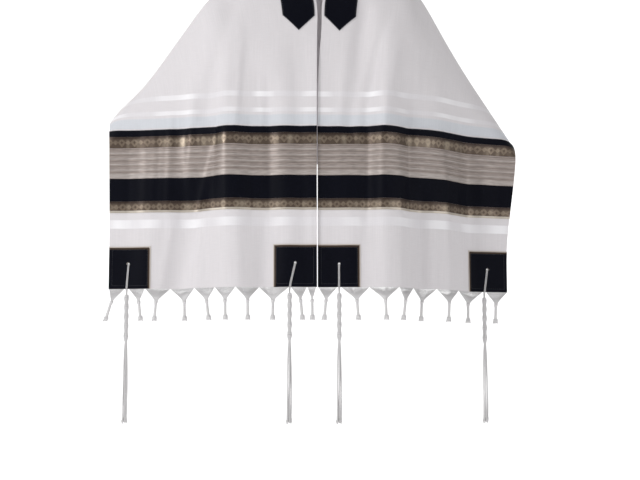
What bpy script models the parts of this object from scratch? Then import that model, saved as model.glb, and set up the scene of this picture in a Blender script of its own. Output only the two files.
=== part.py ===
"""A tallit prayer shawl, as it is worn over the neck, the shoulders and both arms.

Metres, +Z up. The origin is the middle of the neck, level with where the cloth rests beside it.
The front faces -Y and +X is at the right as seen from the front.

The shawl is one long rectangle of cloth. Its threads run up one front from the hem, over the
shoulder or the arm, and round the back to the other front. A point of the cloth is named by its
side, by "across", its distance from the edge that lies at the neck, and by "up", its distance
from the hem along the thread. Every piece is laid out in those two measures.
"""

import math
from collections import Counter, namedtuple
from functools import lru_cache

import bmesh
import bpy
import numpy as np
from mathutils import Matrix, Vector

# The cut
CLOTH_WIDTH = 0.508
CLOTH_WALL = 0.0016
PATCH = 0.096
TRIM_WALL = 0.0010
SEAM = 0.0003

# How the cloth hangs
HEM_Z = -0.81
NECK_HALF_WIDTH = 0.064
ARM_END_X = 0.460
NAPE_Z = 0.030
BACK_FALL = 1.02
NECK_OPEN_DEPTH = 0.20
ARM_TURN_DEPTH = 0.30
SIDES = {"left": -1.0, "right": 1.0}
HEM_STRETCH = {"left": 1.02, "right": 0.98}
RIDGE_STRETCH = {"left": 1.03, "right": 1.04}
LAP_FORWARD = {"left": 0.0055, "right": 0.0}
LAP_WIDTH = 0.035
LAP_TOP_Z = -0.20
LAP_FADE = 0.10

# The line of shoulder and arm that carries the cloth, and how far its front stands out and down
Section = namedtuple("Section", "x ridge_z ridge_y depth_left depth_right front_drop")
FIGURE = [
    Section(0.000, 0.010, 0.000, 0.132, 0.132, 0.260),
    Section(0.066, 0.000, 0.000, 0.127, 0.138, 0.250),
    Section(0.100, -0.015, 0.000, 0.123, 0.142, 0.240),
    Section(0.150, -0.042, 0.001, 0.117, 0.151, 0.220),
    Section(0.200, -0.078, 0.003, 0.110, 0.150, 0.190),
    Section(0.250, -0.134, 0.005, 0.092, 0.128, 0.160),
    Section(0.300, -0.207, 0.008, 0.069, 0.099, 0.130),
    Section(0.350, -0.283, 0.012, 0.055, 0.074, 0.105),
    Section(0.400, -0.358, 0.017, 0.049, 0.062, 0.080),
    Section(0.460, -0.4485, 0.025, 0.048, 0.062, 0.062),
]

# Where the two neck edges hang, one beside the other
Edge = namedtuple("Edge", "z left right")
EDGES = [
    Edge(-0.81, -0.0080, -0.0055),
    Edge(-0.50, -0.0085, -0.0060),
    Edge(-0.40, -0.0085, -0.0060),
    Edge(-0.30, -0.0085, -0.0030),
    Edge(-0.20, -0.0085, 0.0050),
]

# Where one shoulder or arm is carried higher than the table says
Lift = namedtuple("Lift", "side x half_width height")
LIFTS = [
    Lift("left", 0.455, 0.050, 0.030),
    Lift("right", 0.210, 0.070, 0.022),
]

# The back: how far it stands out at its middle, and the round that each thread makes at the ridge
Back = namedtuple("Back", "across middle_y round_depth round_reach")
BACK = [
    Back(0.000, 0.066, 0.066, 0.066),
    Back(0.060, 0.092, 0.064, 0.085),
    Back(0.130, 0.110, 0.062, 0.095),
    Back(0.240, 0.122, 0.058, 0.080),
    Back(0.370, 0.126, 0.046, 0.052),
    Back(0.508, 0.120, 0.035, 0.034),
]

# Large folds. Each one runs from (x_low, z_low) to (x_high, z_high) and stands out by height
Fold = namedtuple("Fold", "face x_low z_low x_high z_high half_width height")
FOLDS = [
    Fold("front", -0.060, -0.90, -0.105, -0.20, 0.034, 0.0055),
    Fold("front", -0.122, -0.90, -0.118, -0.30, 0.026, -0.0085),
    Fold("front", -0.182, -0.90, -0.230, -0.10, 0.034, 0.0105),
    Fold("front", -0.262, -0.46, -0.185, -0.06, 0.024, -0.0095),
    Fold("front", -0.345, -0.90, -0.275, -0.48, 0.026, -0.0100),
    Fold("front", -0.395, -0.90, -0.350, -0.36, 0.032, 0.0060),
    Fold("front", 0.066, -0.90, 0.074, -0.22, 0.030, 0.0060),
    Fold("front", 0.060, -0.50, 0.112, -0.08, 0.020, -0.0090),
    Fold("front", 0.146, -0.90, 0.150, -0.14, 0.030, 0.0100),
    Fold("front", 0.222, -0.90, 0.200, -0.30, 0.028, -0.0120),
    Fold("front", 0.300, -0.90, 0.275, -0.26, 0.034, 0.0080),
    Fold("front", 0.372, -0.90, 0.355, -0.40, 0.024, -0.0065),
    Fold("back", -0.345, -0.60, -0.275, -0.24, 0.026, -0.0100),
    Fold("back", -0.245, -0.60, -0.165, -0.16, 0.034, 0.0120),
    Fold("back", -0.150, -0.60, -0.080, -0.10, 0.028, -0.0130),
    Fold("back", -0.030, -0.60, -0.012, -0.14, 0.036, 0.0110),
    Fold("back", 0.085, -0.60, 0.055, -0.10, 0.028, -0.0120),
    Fold("back", 0.190, -0.60, 0.130, -0.14, 0.034, 0.0130),
    Fold("back", 0.300, -0.60, 0.235, -0.22, 0.026, -0.0110),
    Fold("back", 0.385, -0.60, 0.330, -0.32, 0.022, 0.0070),
]
FOLD_FADE = 0.12
FOLD_FOOT_FADE = 0.04
RIDGE_FADE = 0.07

# What is sewn on, by its distance up from the hem
NECK_BAND_INNER = 0.006
NECK_BAND_OUTER = 0.078
NECK_BAND_MIDDLE = (NECK_BAND_INNER + NECK_BAND_OUTER) / 2
NECK_BAND_TIP_UP = 0.586
NECK_BAND_POINT = 0.036
Ribbon = namedtuple("Ribbon", "name low high colour roughness")
RIBBONS = [
    Ribbon("lower_braid", 0.1735, 0.2000, (0.10, 0.070, 0.050), 0.45),
    Ribbon("black", 0.2000, 0.2520, (0.004, 0.005, 0.008), 0.55),
    Ribbon("beige", 0.2520, 0.3230, (0.36, 0.300, 0.260), 0.40),
    Ribbon("upper_braid", 0.3230, 0.3495, (0.10, 0.070, 0.050), 0.45),
    Ribbon("fine_black", 0.3495, 0.3645, (0.004, 0.005, 0.008), 0.55),
]

# The net of lines that every piece shares
COLUMNS = (
    [0.0, NECK_BAND_INNER, 0.0240, 0.0420, 0.0600, NECK_BAND_OUTER]
    + [PATCH + i * (CLOTH_WIDTH - 2 * PATCH) / 15 for i in range(15)]
    + [CLOTH_WIDTH - PATCH + i * PATCH / 4 for i in range(5)]
)
LEVELS = [0.0, PATCH / 2, PATCH] + [r.low for r in RIBBONS] + [RIBBONS[-1].high]
UPPER_ROWS = 12
BACK_ROWS = 11
RIDGE_ROW = len(LEVELS) - 1 + UPPER_ROWS
MIDDLE_ROW = RIDGE_ROW + BACK_ROWS

# Fringe: each lock fans out of the hem and is gathered into a knotted cord
STRIP_HEIGHT = 0.006
FAN_END = 0.030
FAN_LEAN = 0.45
FAN_END_HALF_WIDTH = 0.003
Lock = namedtuple("Lock", "root half_fan end")
LOCKS = {
    "left": [
        Lock(0.0110, 0.0095, 0.0100),
        Lock(0.0395, 0.0175, 0.0310),
        Lock(0.0965, 0.0340, 0.0980),
        Lock(0.1595, 0.0275, 0.1580),
        Lock(0.2145, 0.0255, 0.2120),
        Lock(0.2690, 0.0270, 0.2560),
        Lock(0.3315, 0.0335, 0.3280),
        Lock(0.3950, 0.0280, 0.4020),
        Lock(0.4430, 0.0180, 0.4330),
        Lock(0.4900, 0.0170, 0.5150),
    ],
    "right": [
        Lock(0.0220, 0.0205, 0.0140),
        Lock(0.0850, 0.0315, 0.0915),
        Lock(0.1525, 0.0340, 0.1570),
        Lock(0.2130, 0.0245, 0.1980),
        Lock(0.2695, 0.0295, 0.2640),
        Lock(0.3370, 0.0355, 0.3310),
        Lock(0.4110, 0.0360, 0.4090),
        Lock(0.4820, 0.0250, 0.4780),
    ],
}
LockSection = namedtuple("LockSection", "drop size")
LOCK_SECTIONS = [
    LockSection(0.037, 0.0046),
    LockSection(0.060, 0.0044),
    LockSection(0.064, 0.0082),
    LockSection(0.070, 0.0082),
    LockSection(0.074, 0.0044),
]

# Tzitzit: a doubled cord through an eyelet, knotted below the hem, that ends in eight strands
EYELET_RADIUS = 0.0036
EYELET_SIDES = 10
EYELET_CUTTER_DEPTH = 0.02
CORD_WIDTH = 0.0030
CORD_DEPTH = 0.0018
Tzitzit = namedtuple("Tzitzit", "side place eyelet_across eyelet_up hang_across")
TZITZIT = [
    Tzitzit("left", "outer", 0.463, 0.056, 0.467),
    Tzitzit("left", "inner", 0.048, 0.054, 0.060),
    Tzitzit("right", "inner", 0.048, 0.052, 0.048),
    Tzitzit("right", "outer", 0.459, 0.052, 0.452),
]
HEAD_TOP_DROP = 0.013
KNOT_DROPS = [0.020, 0.040, 0.061, 0.083, 0.106]
KNOT_HALF_HEIGHT = 0.0045
KNOT_GROWTH = 1.25
WINDING_SCALE = 0.86
HEAD_END_DROP = 0.118
HEAD_HALF_WIDTH = 0.0040
CORD_CLEARANCE = 0.0002
LOOP_TURN = 0.0016
LOOP_MITRE = 0.92
STRAND_SIZE = 0.0014
STRAND_SPREAD = 1.35
STRAND_UNEVENNESS = 0.0022
STRAND_END_DROP = 0.290
END_KNOT_SIZE = 0.0022
END_KNOT_HEIGHT = 0.006

Finish = namedtuple("Finish", "colour roughness")
CLOTH = Finish((0.66, 0.645, 0.64), 0.80)
BLACK = Finish((0.004, 0.005, 0.008), 0.55)
CORD = Finish((0.74, 0.735, 0.72), 0.75)


def smooth(table, column, at):
    """The value of one column of a table, on a smooth curve through its rows."""
    keys = np.array([row[0] for row in table])
    values = np.array([getattr(row, column) for row in table])
    slopes = np.gradient(values, keys)
    at = np.clip(at, keys[0], keys[-1])
    i = np.clip(np.searchsorted(keys, at, side="right") - 1, 0, len(keys) - 2)
    step = keys[i + 1] - keys[i]
    t = (at - keys[i]) / step
    start = values[i] * (1 + 2 * t) * (1 - t) ** 2 + slopes[i] * step * t * (1 - t) ** 2
    end = values[i + 1] * t * t * (3 - 2 * t) + slopes[i + 1] * step * t * t * (t - 1)
    return start + end


def quarter_round(share):
    """0 to 1 along a quarter of an ellipse, then flat."""
    share = np.clip(share, 0.0, 1.0)
    return np.sqrt(1 - (1 - share) ** 2)


def ease(share):
    share = np.clip(share, 0.0, 1.0)
    return share * share * (3 - 2 * share)


@lru_cache(maxsize=None)
def hem_plan(side):
    """Lengths along the hem as seen from above, and the x of each."""
    x = np.linspace(0.0, ARM_END_X, 400)
    y = smooth(FIGURE, "ridge_y", x) - smooth(FIGURE, f"depth_{side}", x)
    steps = np.hypot(np.diff(x), np.diff(y))
    return np.concatenate([[0.0], np.cumsum(steps)]), x


def ridge_height(side, x):
    """The height of the line that carries the cloth on one side."""
    height = smooth(FIGURE, "ridge_z", x)
    for lift in LIFTS:
        if lift.side == side:
            height = height + lift.height * np.exp(-(((x - lift.x) / lift.half_width) ** 2))
    return height


@lru_cache(maxsize=None)
def thread(side, across):
    """One thread from the hem to the middle of the back: lengths, points and the ridge's length."""
    lengths, plan_x = hem_plan(side)
    share = across / CLOTH_WIDTH
    kept_flat = [0.0, PATCH, CLOTH_WIDTH - PATCH, CLOTH_WIDTH]
    reached = [0.0, PATCH, lengths[-1] - PATCH, lengths[-1]]
    hem_x = np.interp(np.interp(across, kept_flat, reached), lengths, plan_x)
    ridge_x = NECK_HALF_WIDTH + (ARM_END_X - NECK_HALF_WIDTH) * share
    ridge_z = float(ridge_height(side, ridge_x))
    ridge_y = float(smooth(FIGURE, "ridge_y", ridge_x))

    t = np.linspace(0.0, 1.0, 400)
    z = ridge_z - (ridge_z - HEM_Z) * (1 - t) ** 2
    x = hem_x + (ridge_x - hem_x) * np.clip((z - ridge_z) / NECK_OPEN_DEPTH + 1, 0, 1) ** 2
    drop = ridge_height(side, x) - z
    round_share = quarter_round(drop / smooth(FIGURE, "front_drop", x))
    y = smooth(FIGURE, "ridge_y", x) - smooth(FIGURE, f"depth_{side}", x) * round_share
    lap = ease(1 - x / LAP_WIDTH) * ease((LAP_TOP_Z - z) / LAP_FADE)
    y = y - LAP_FORWARD[side] * lap
    front = np.column_stack([x, y, z])

    middle_y = float(smooth(BACK, "middle_y", across))
    round_depth = float(smooth(BACK, "round_depth", across))
    round_reach = float(smooth(BACK, "round_reach", across))
    middle_z = NAPE_Z - BACK_FALL * across
    inward = np.linspace(0.0, 1.0, 300)[1:] ** 2
    bow = 1 - (1 - inward) ** 2
    x = ridge_x * (1 - inward)
    y = ridge_y + round_depth * quarter_round(ridge_x * inward / round_reach)
    y = y + (middle_y - ridge_y - round_depth) * bow
    z = ridge_z + (middle_z - ridge_z) * bow
    back = np.column_stack([x, y, z])

    points = np.concatenate([front, back])
    rise = np.ones(len(points))
    rise[: len(front)] = ease((front[:, 2] - ridge_z) / ARM_TURN_DEPTH + 1)
    stretch = HEM_STRETCH[side] + (RIDGE_STRETCH[side] - HEM_STRETCH[side]) * rise
    points[:, 0] = SIDES[side] * points[:, 0] * stretch
    edge_x = smooth(EDGES, side, points[:, 2])
    points[:, 0] += edge_x * (1 - share) * (1 - rise)
    steps = np.linalg.norm(np.diff(points, axis=0), axis=1)
    lengths = np.concatenate([[0.0], np.cumsum(steps)])
    return lengths, points, lengths[len(front) - 1]


def base_point(side, across, up):
    """The cloth without its folds. Below the hem it goes straight down."""
    lengths, points, _ = thread(side, round(across, 5))
    point = np.array([np.interp(up, lengths, points[:, axis]) for axis in range(3)])
    if up < 0:
        point[2] += up
    if up > lengths[-1]:
        point[0] -= SIDES[side] * (up - lengths[-1])
    return point


def unit_normal(surface, side, across, up):
    """The outward direction, from four near points of a surface."""
    step = 0.002
    low = max(across - step, 0.0)
    high = min(across + step, CLOTH_WIDTH)
    over = surface(side, high, up) - surface(side, low, up)
    along = surface(side, across, up + step) - surface(side, across, up - step)
    normal = np.cross(over, along) * SIDES[side]
    return normal / np.linalg.norm(normal)


def fold_height(side, across, up, point):
    """How far the large folds stand out at a point."""
    ridge_up = thread(side, round(across, 5))[2]
    face = "front" if up < ridge_up else "back"
    height = 0.0
    for fold in FOLDS:
        if fold.face != face:
            continue
        share = (point[2] - fold.z_low) / (fold.z_high - fold.z_low)
        line_x = fold.x_low + (fold.x_high - fold.x_low) * min(max(share, 0.0), 1.0)
        bell = math.exp(-(((point[0] - line_x) / fold.half_width) ** 2))
        fade = ease((fold.z_high - point[2]) / FOLD_FADE)
        fade *= ease((point[2] - fold.z_low) / FOLD_FOOT_FADE)
        height += fold.height * bell * fade
    return float(height * ease(abs(up - ridge_up) / RIDGE_FADE))


def cloth_point(side, across, up):
    """The middle of the cloth's wall, with its folds."""
    point = base_point(side, across, up)
    height = fold_height(side, across, up, point)
    if height == 0.0:
        return point
    return point + height * unit_normal(base_point, side, across, up)


def lifted(side, across, up, lift):
    """A point that stands off the middle of the cloth's wall by lift."""
    point = cloth_point(side, across, up)
    return point + lift * unit_normal(cloth_point, side, across, up)


def flat_spot(side, across, up, lift):
    """A point over one flat cell of the net near the hem, on a straight line between its corners."""
    i = min(max(int(np.searchsorted(COLUMNS, across, side="right")) - 1, 0), len(COLUMNS) - 2)
    j = min(max(int(np.searchsorted(LEVELS, up, side="right")) - 1, 0), len(LEVELS) - 2)
    over = (across - COLUMNS[i]) / (COLUMNS[i + 1] - COLUMNS[i])
    along = (up - LEVELS[j]) / (LEVELS[j + 1] - LEVELS[j])
    low = [lifted(side, COLUMNS[i + k], LEVELS[j], lift) for k in (0, 1)]
    high = [lifted(side, COLUMNS[i + k], LEVELS[j + 1], lift) for k in (0, 1)]
    low = low[0] + (low[1] - low[0]) * over
    high = high[0] + (high[1] - high[0]) * over
    return low + (high - low) * along


def up_of_row(side, across, row):
    """The length up the thread of one row of the net."""
    if row < len(LEVELS):
        return LEVELS[row]
    lengths, _, ridge_up = thread(side, round(across, 5))
    if row <= RIDGE_ROW:
        share = 1 - (1 - (row - len(LEVELS) + 1) / UPPER_ROWS) ** 1.5
        return LEVELS[-1] + (ridge_up - LEVELS[-1]) * share
    share = ((row - RIDGE_ROW) / BACK_ROWS) ** 1.4
    return ridge_up + (lengths[-1] - ridge_up) * share


def new_object(name, bm, finish):
    """An object of its own, with its own material, from a bmesh."""
    mesh = bpy.data.meshes.new(name)
    bm.to_mesh(mesh)
    bm.free()
    obj = bpy.data.objects.new(name, mesh)
    bpy.context.scene.collection.objects.link(obj)
    material = bpy.data.materials.new(name)
    material.use_nodes = True
    shader = material.node_tree.nodes["Principled BSDF"]
    shader.inputs["Base Color"].default_value = (*finish.colour, 1.0)
    shader.inputs["Roughness"].default_value = finish.roughness
    material.diffuse_color = (*finish.colour, 1.0)
    mesh.materials.append(material)
    return obj


def add_wall(obj, thickness):
    """Gives a sheet its thickness, half to each side."""
    wall = obj.modifiers.new("wall", "SOLIDIFY")
    wall.thickness = thickness
    wall.offset = 0.0


Step = namedtuple("Step", "side row nudge")


def sheet_mesh(columns, steps, lift):
    """A grid over the cloth: one column for each distance across, one row for each step."""
    bm = bmesh.new()
    across_cells = len(columns) - 1
    up_cells = len(steps) - 1
    bmesh.ops.create_grid(bm, x_segments=across_cells, y_segments=up_cells, size=1.0)
    for vert in bm.verts:
        column = columns[round((vert.co.x + 1) / 2 * across_cells)]
        step = steps[round((vert.co.y + 1) / 2 * up_cells)]
        up = up_of_row(step.side, column, step.row) + step.nudge
        vert.co = lifted(step.side, column, up, lift)
    bmesh.ops.triangulate(bm, faces=bm.faces, quad_method="FIXED")
    return bm


def rows(side, first, last, gap_low=0.0, gap_high=0.0):
    """The steps from one row to another on one side, held back at the ends by a gap.

    They run the way that the cloth does, up the left side and down the right one, so that the
    cells of every piece are halved along the same diagonals.
    """
    steps = [Step(side, row, 0.0) for row in range(first, last + 1)]
    steps[0] = steps[0]._replace(nudge=gap_low)
    steps[-1] = steps[-1]._replace(nudge=-gap_high)
    return steps if side == "left" else steps[::-1]


def make_cloth():
    """The rectangle of cloth in its three stretches, parted along the top of the shoulders."""
    half = SEAM / 2
    for side in SIDES:
        bm = sheet_mesh(COLUMNS, rows(side, 0, RIDGE_ROW, 0.0, half), 0.0)
        front = new_object(f"cloth_front_{side}", bm, CLOTH)
        add_wall(front, CLOTH_WALL)
        cut_eyelets(front, side, None)
    left = rows("left", RIDGE_ROW, MIDDLE_ROW, half)
    right = rows("right", RIDGE_ROW, MIDDLE_ROW, half)
    bm = sheet_mesh(COLUMNS, left + right[1:], 0.0)
    back = new_object("cloth_back", bm, CLOTH)
    add_wall(back, CLOTH_WALL)


def trim_lift():
    """How far the middle of a sewn-on piece stands off the middle of the cloth."""
    return CLOTH_WALL / 2 + SEAM + TRIM_WALL / 2


def make_ribbons():
    """The five ribbons of the striped band on each end."""
    for side in SIDES:
        for ribbon in RIBBONS:
            low = LEVELS.index(ribbon.low)
            steps = rows(side, low, low + 1, SEAM / 2, SEAM / 2)
            bm = sheet_mesh(COLUMNS, steps, trim_lift())
            finish = Finish(ribbon.colour, ribbon.roughness)
            obj = new_object(f"ribbon_{side}_{ribbon.name}", bm, finish)
            add_wall(obj, TRIM_WALL)


def cut_point(bm, side):
    """Cuts one end of the neck band to its point."""
    tip = Vector(lifted(side, NECK_BAND_MIDDLE, NECK_BAND_TIP_UP, trim_lift()))
    outward = Vector(unit_normal(cloth_point, side, NECK_BAND_MIDDLE, NECK_BAND_TIP_UP))
    shoulder_up = NECK_BAND_TIP_UP + NECK_BAND_POINT
    middle = Vector(lifted(side, NECK_BAND_MIDDLE, shoulder_up, trim_lift()))
    for across in (NECK_BAND_INNER, NECK_BAND_OUTER):
        shoulder = Vector(lifted(side, across, shoulder_up, trim_lift()))
        normal = (shoulder - tip).cross(outward)
        if normal.dot(middle - tip) > 0:
            normal = -normal
        near = [v for v in bm.verts if v.co.x * SIDES[side] > 0 and v.co.y < 0]
        faces = {f for v in near for f in v.link_faces}
        edges = {e for f in faces for e in f.edges}
        verts = {v for f in faces for v in f.verts}
        geom = list(verts) + list(edges) + list(faces)
        bmesh.ops.bisect_plane(
            bm, geom=geom, dist=1e-6, plane_co=tip, plane_no=normal, clear_outer=True
        )


def make_neck_band():
    """The black band along the neck edge, with a point at each end."""
    first = len(LEVELS)
    columns = [c for c in COLUMNS if NECK_BAND_INNER <= c <= NECK_BAND_OUTER]
    while up_of_row("left", 0.0, first + 1) < NECK_BAND_TIP_UP - NECK_BAND_POINT / 2:
        first += 1
    left = rows("left", first, MIDDLE_ROW)
    right = rows("right", first, MIDDLE_ROW)
    bm = sheet_mesh(columns, left + right[1:], trim_lift())
    for side in SIDES:
        cut_point(bm, side)
    add_wall(new_object("neck_band", bm, BLACK), TRIM_WALL)


def cut_eyelets(obj, side, place):
    """Cuts the round eyelets through a front, or through the patch at one place."""
    for item in TZITZIT:
        if item.side != side or place not in (None, item.place):
            continue
        name = f"eyelet_cutter_{obj.name}_{item.place}"
        bm = bmesh.new()
        bmesh.ops.create_cone(
            bm,
            cap_ends=True,
            segments=EYELET_SIDES,
            radius1=EYELET_RADIUS,
            radius2=EYELET_RADIUS,
            depth=EYELET_CUTTER_DEPTH,
        )
        normal = Vector(unit_normal(cloth_point, side, item.eyelet_across, item.eyelet_up))
        turn = normal.to_track_quat("Z", "Y").to_matrix().to_4x4()
        centre = Vector(cloth_point(side, item.eyelet_across, item.eyelet_up))
        bmesh.ops.transform(bm, matrix=Matrix.Translation(centre) @ turn, verts=bm.verts)
        cutter = new_object(name, bm, BLACK)
        cutter.hide_render = True
        cutter.display_type = "WIRE"
        cut = obj.modifiers.new("eyelet", "BOOLEAN")
        cut.operation = "DIFFERENCE"
        cut.solver = "EXACT"
        cut.object = cutter


def make_patches():
    """The four black corner patches, each with its eyelet."""
    for item in TZITZIT:
        low, high = (0.0, PATCH) if item.place == "inner" else (CLOTH_WIDTH - PATCH, CLOTH_WIDTH)
        columns = [c for c in COLUMNS if low - 1e-6 <= c <= high + 1e-6]
        bm = sheet_mesh(columns, rows(item.side, 0, LEVELS.index(PATCH)), trim_lift())
        patch = new_object(f"patch_{item.side}_{item.place}", bm, BLACK)
        add_wall(patch, TRIM_WALL)
        cut_eyelets(patch, item.side, item.place)


def set_section(face, centre, width_way, half_width, depth_way, half_depth):
    """Moves a four-sided face's corners to a rectangle about centre, each in its own quarter."""
    middle = face.calc_center_median()
    for vert in face.verts:
        offset = vert.co - middle
        width_sign = 1 if offset.dot(width_way) > 0 else -1
        depth_sign = 1 if offset.dot(depth_way) > 0 else -1
        corner = width_way * width_sign * half_width + depth_way * depth_sign * half_depth
        vert.co = centre + corner


def push_out(bm, face):
    """Extrudes one face and returns the new one."""
    made = bmesh.ops.extrude_discrete_faces(bm, faces=[face])
    return made["faces"][0]


def add_shell(bm, front, back, cells):
    """A closed wall between two layers of points, from flat cells that name their corners."""
    outer = [bm.verts.new(point) for point in front]
    inner = [bm.verts.new(point) for point in back]
    edges = [(cell[k - 1], cell[k]) for cell in cells for k in range(len(cell))]
    uses = Counter(frozenset(edge) for edge in edges)
    for cell in cells:
        bm.faces.new([outer[i] for i in cell])
        bm.faces.new([inner[i] for i in reversed(cell)])
    for a, b in edges:
        if uses[frozenset((a, b))] == 1:
            bm.faces.new([outer[b], outer[a], inner[a], inner[b]])
    return outer, inner


def make_fringe(side):
    """A narrow strip under the hem with its locks, all one piece."""
    bm = bmesh.new()
    locks = LOCKS[side]
    strip = [0.0]
    for lock in locks:
        strip += [lock.root - lock.half_fan, lock.root + lock.half_fan]
    strip.append(CLOTH_WIDTH)
    count = len(strip)
    spots = [(across, -SEAM) for across in strip]
    spots += [(across, -SEAM - STRIP_HEIGHT) for across in strip]
    cells = [[i, i + 1, count + i + 1, count + i] for i in range(count - 1)]
    for i, lock in enumerate(locks):
        middle = lock.root + (lock.end - lock.root) * FAN_LEAN
        low = count + 2 * i + 1
        end = len(spots)
        spots.append((middle - FAN_END_HALF_WIDTH, -FAN_END))
        spots.append((middle + FAN_END_HALF_WIDTH, -FAN_END))
        cells.append([low, low + 1, end + 1, end])
    front = [flat_spot(side, *spot, CLOTH_WALL / 2) for spot in spots]
    back = [flat_spot(side, *spot, -CLOTH_WALL / 2) for spot in spots]
    outer, inner = add_shell(bm, front, back, cells)
    for i, lock in enumerate(locks):
        end = 2 * count + 2 * i
        corners = {outer[end], outer[end + 1], inner[end], inner[end + 1]}
        face = next(f for f in outer[end].link_faces if set(f.verts) == corners)
        add_lock(bm, side, lock, face)
    bmesh.ops.recalc_face_normals(bm, faces=bm.faces)
    new_object(f"fringe_{side}", bm, CORD)


def add_lock(bm, side, lock, face):
    """The gathered cord of one lock, from the face at the foot of its fan to its end knot."""
    start = face.calc_center_median()
    width_way, depth_way = hem_ways(side, min(lock.end, CLOTH_WIDTH - 0.002))
    past_edge = max(lock.end - CLOTH_WIDTH, 0.0) * SIDES[side]
    finish = Vector(flat_spot(side, min(lock.end, CLOTH_WIDTH), 0.0, 0.0)) + width_way * past_edge
    for section in LOCK_SECTIONS:
        share = (section.drop - FAN_END) / (LOCK_SECTIONS[-1].drop - FAN_END)
        place = start.lerp(finish, share)
        place.z = HEM_Z - section.drop
        face = push_out(bm, face)
        set_section(face, place, width_way, section.size / 2, depth_way, section.size / 2)


def head_grid(bm, centre, ways, lines_x, lines_y, scale, drop):
    """Nine faces in three rows about a centre: the top or the bottom of a tzitzit's head."""
    down = Vector((0.0, 0.0, -drop))
    verts = []
    for y in lines_y:
        spots = [centre + (ways[0] * x + ways[1] * y) * scale + down for x in lines_x]
        verts.append([bm.verts.new(spot) for spot in spots])
    faces = []
    for low, high in zip(verts, verts[1:]):
        cells = [[low[i], low[i + 1], high[i + 1], high[i]] for i in range(3)]
        faces.append([bm.faces.new(cell) for cell in cells])
    return verts, faces


def rim(verts):
    """The outer ring of a grid of four by four points, in order."""
    ring = verts[0][:3] + [verts[0][3], verts[1][3], verts[2][3]]
    return ring + verts[3][:0:-1] + [verts[3][0], verts[2][0], verts[1][0]]


def hem_ways(side, across):
    """Level directions at the hem: along it towards +X, and into the garment."""
    along = Vector(flat_spot(side, across + 0.001, 0.0, 0.0))
    along -= Vector(flat_spot(side, across - 0.001, 0.0, 0.0))
    along = Vector((along.x, along.y, 0.0)).normalized() * SIDES[side]
    return along, Vector((-along.y, along.x, 0.0))


def ring_wall(bm, above, below):
    """Joins two rings of points that have the same count and order."""
    for i in range(len(above)):
        j = (i + 1) % len(above)
        bm.faces.new([above[i], above[j], below[j], below[i]])


def head_sections():
    """The drop and the scale of each ring of a tzitzit's head: its double knots and windings."""
    sections = []
    for drop in KNOT_DROPS:
        sections.append((drop - KNOT_HALF_HEIGHT, WINDING_SCALE))
        sections.append((drop, KNOT_GROWTH))
        sections.append((drop + KNOT_HALF_HEIGHT, WINDING_SCALE))
    return sections


def make_tzitzit(item):
    """One tzitzit: the loop through the eyelet, the knotted head and its eight strands."""
    bm = bmesh.new()
    front = CLOTH_WALL / 2 + 2 * SEAM + TRIM_WALL + CORD_CLEARANCE + CORD_DEPTH / 2
    back = CLOTH_WALL / 2 + SEAM + CORD_CLEARANCE + CORD_DEPTH / 2
    hang = Vector(flat_spot(item.side, item.hang_across, 0.0, 0.0))
    ways = hem_ways(item.side, item.hang_across)
    centre = Vector((hang.x, hang.y, HEM_Z)) + ways[1] * (back - front) / 2
    reach = (front + back) / 2
    lines_x = [-HEAD_HALF_WIDTH, -CORD_WIDTH / 2, CORD_WIDTH / 2, HEAD_HALF_WIDTH]
    lines_y = [
        -reach - CORD_DEPTH / 2,
        -reach + CORD_DEPTH / 2,
        reach - CORD_DEPTH / 2,
        reach + CORD_DEPTH / 2,
    ]
    top, top_faces = head_grid(bm, centre, ways, lines_x, lines_y, 1.0, HEAD_TOP_DROP)
    foot, foot_faces = head_grid(
        bm, centre, ways, lines_x, lines_y, WINDING_SCALE, HEAD_END_DROP
    )
    outline = [Vector((v.co.x - centre.x, v.co.y - centre.y, 0.0)) for v in rim(top)]
    above = rim(top)
    for drop, scale in head_sections():
        down = Vector((0.0, 0.0, -drop))
        below = [bm.verts.new(centre + point * scale + down) for point in outline]
        ring_wall(bm, above, below)
        above = below
    ring_wall(bm, above, rim(foot))
    front_root = [top[0][1], top[0][2], top[1][2], top[1][1]]
    back_root = [top[3][1], top[3][2], top[2][2], top[2][1]]
    bmesh.ops.delete(bm, geom=[top_faces[0][1], top_faces[2][1]], context="FACES_ONLY")
    add_loop(bm, item, front_root, back_root, front, back)
    bmesh.ops.recalc_face_normals(bm, faces=bm.faces)
    around = [foot_faces[j][i] for j in range(3) for i in range(3) if (i, j) != (1, 1)]
    add_strands(bm, centre, ways, around)
    bmesh.ops.recalc_face_normals(bm, faces=bm.faces)
    new_object(f"tzitzit_{item.side}_{item.place}", bm, CORD)


def add_loop(bm, item, front_root, back_root, front, back):
    """The doubled cord: up the front of the patch, through the eyelet and down behind."""
    side = item.side
    eye_across = item.eyelet_across
    eye_up = item.eyelet_up
    toward_x, inward = hem_ways(side, eye_across)
    outward = -inward
    upward = Vector((0.0, 0.0, 1.0))
    route = []
    for up in (0.0, eye_up / 2, eye_up - LOOP_TURN):
        across = item.hang_across + (eye_across - item.hang_across) * up / eye_up
        route.append((across, up, front, outward))
    route.append((eye_across, eye_up, front - LOOP_TURN / 4, (outward + upward) * LOOP_MITRE))
    for across, up, lift, depth_way in route[::-1]:
        inward_way = depth_way - 2 * depth_way.dot(outward) * outward
        route.append((across, up, -lift + front - back, inward_way))
    above = front_root
    for across, up, lift, depth_way in route:
        place = Vector(flat_spot(side, across, up, lift))
        half_width = toward_x * CORD_WIDTH / 2
        half_depth = depth_way * CORD_DEPTH / 2
        corners = [
            place - half_width + half_depth,
            place + half_width + half_depth,
            place + half_width - half_depth,
            place - half_width - half_depth,
        ]
        below = [bm.verts.new(corner) for corner in corners]
        ring_wall(bm, above, below)
        above = below
    ring_wall(bm, above, back_root)


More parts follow.
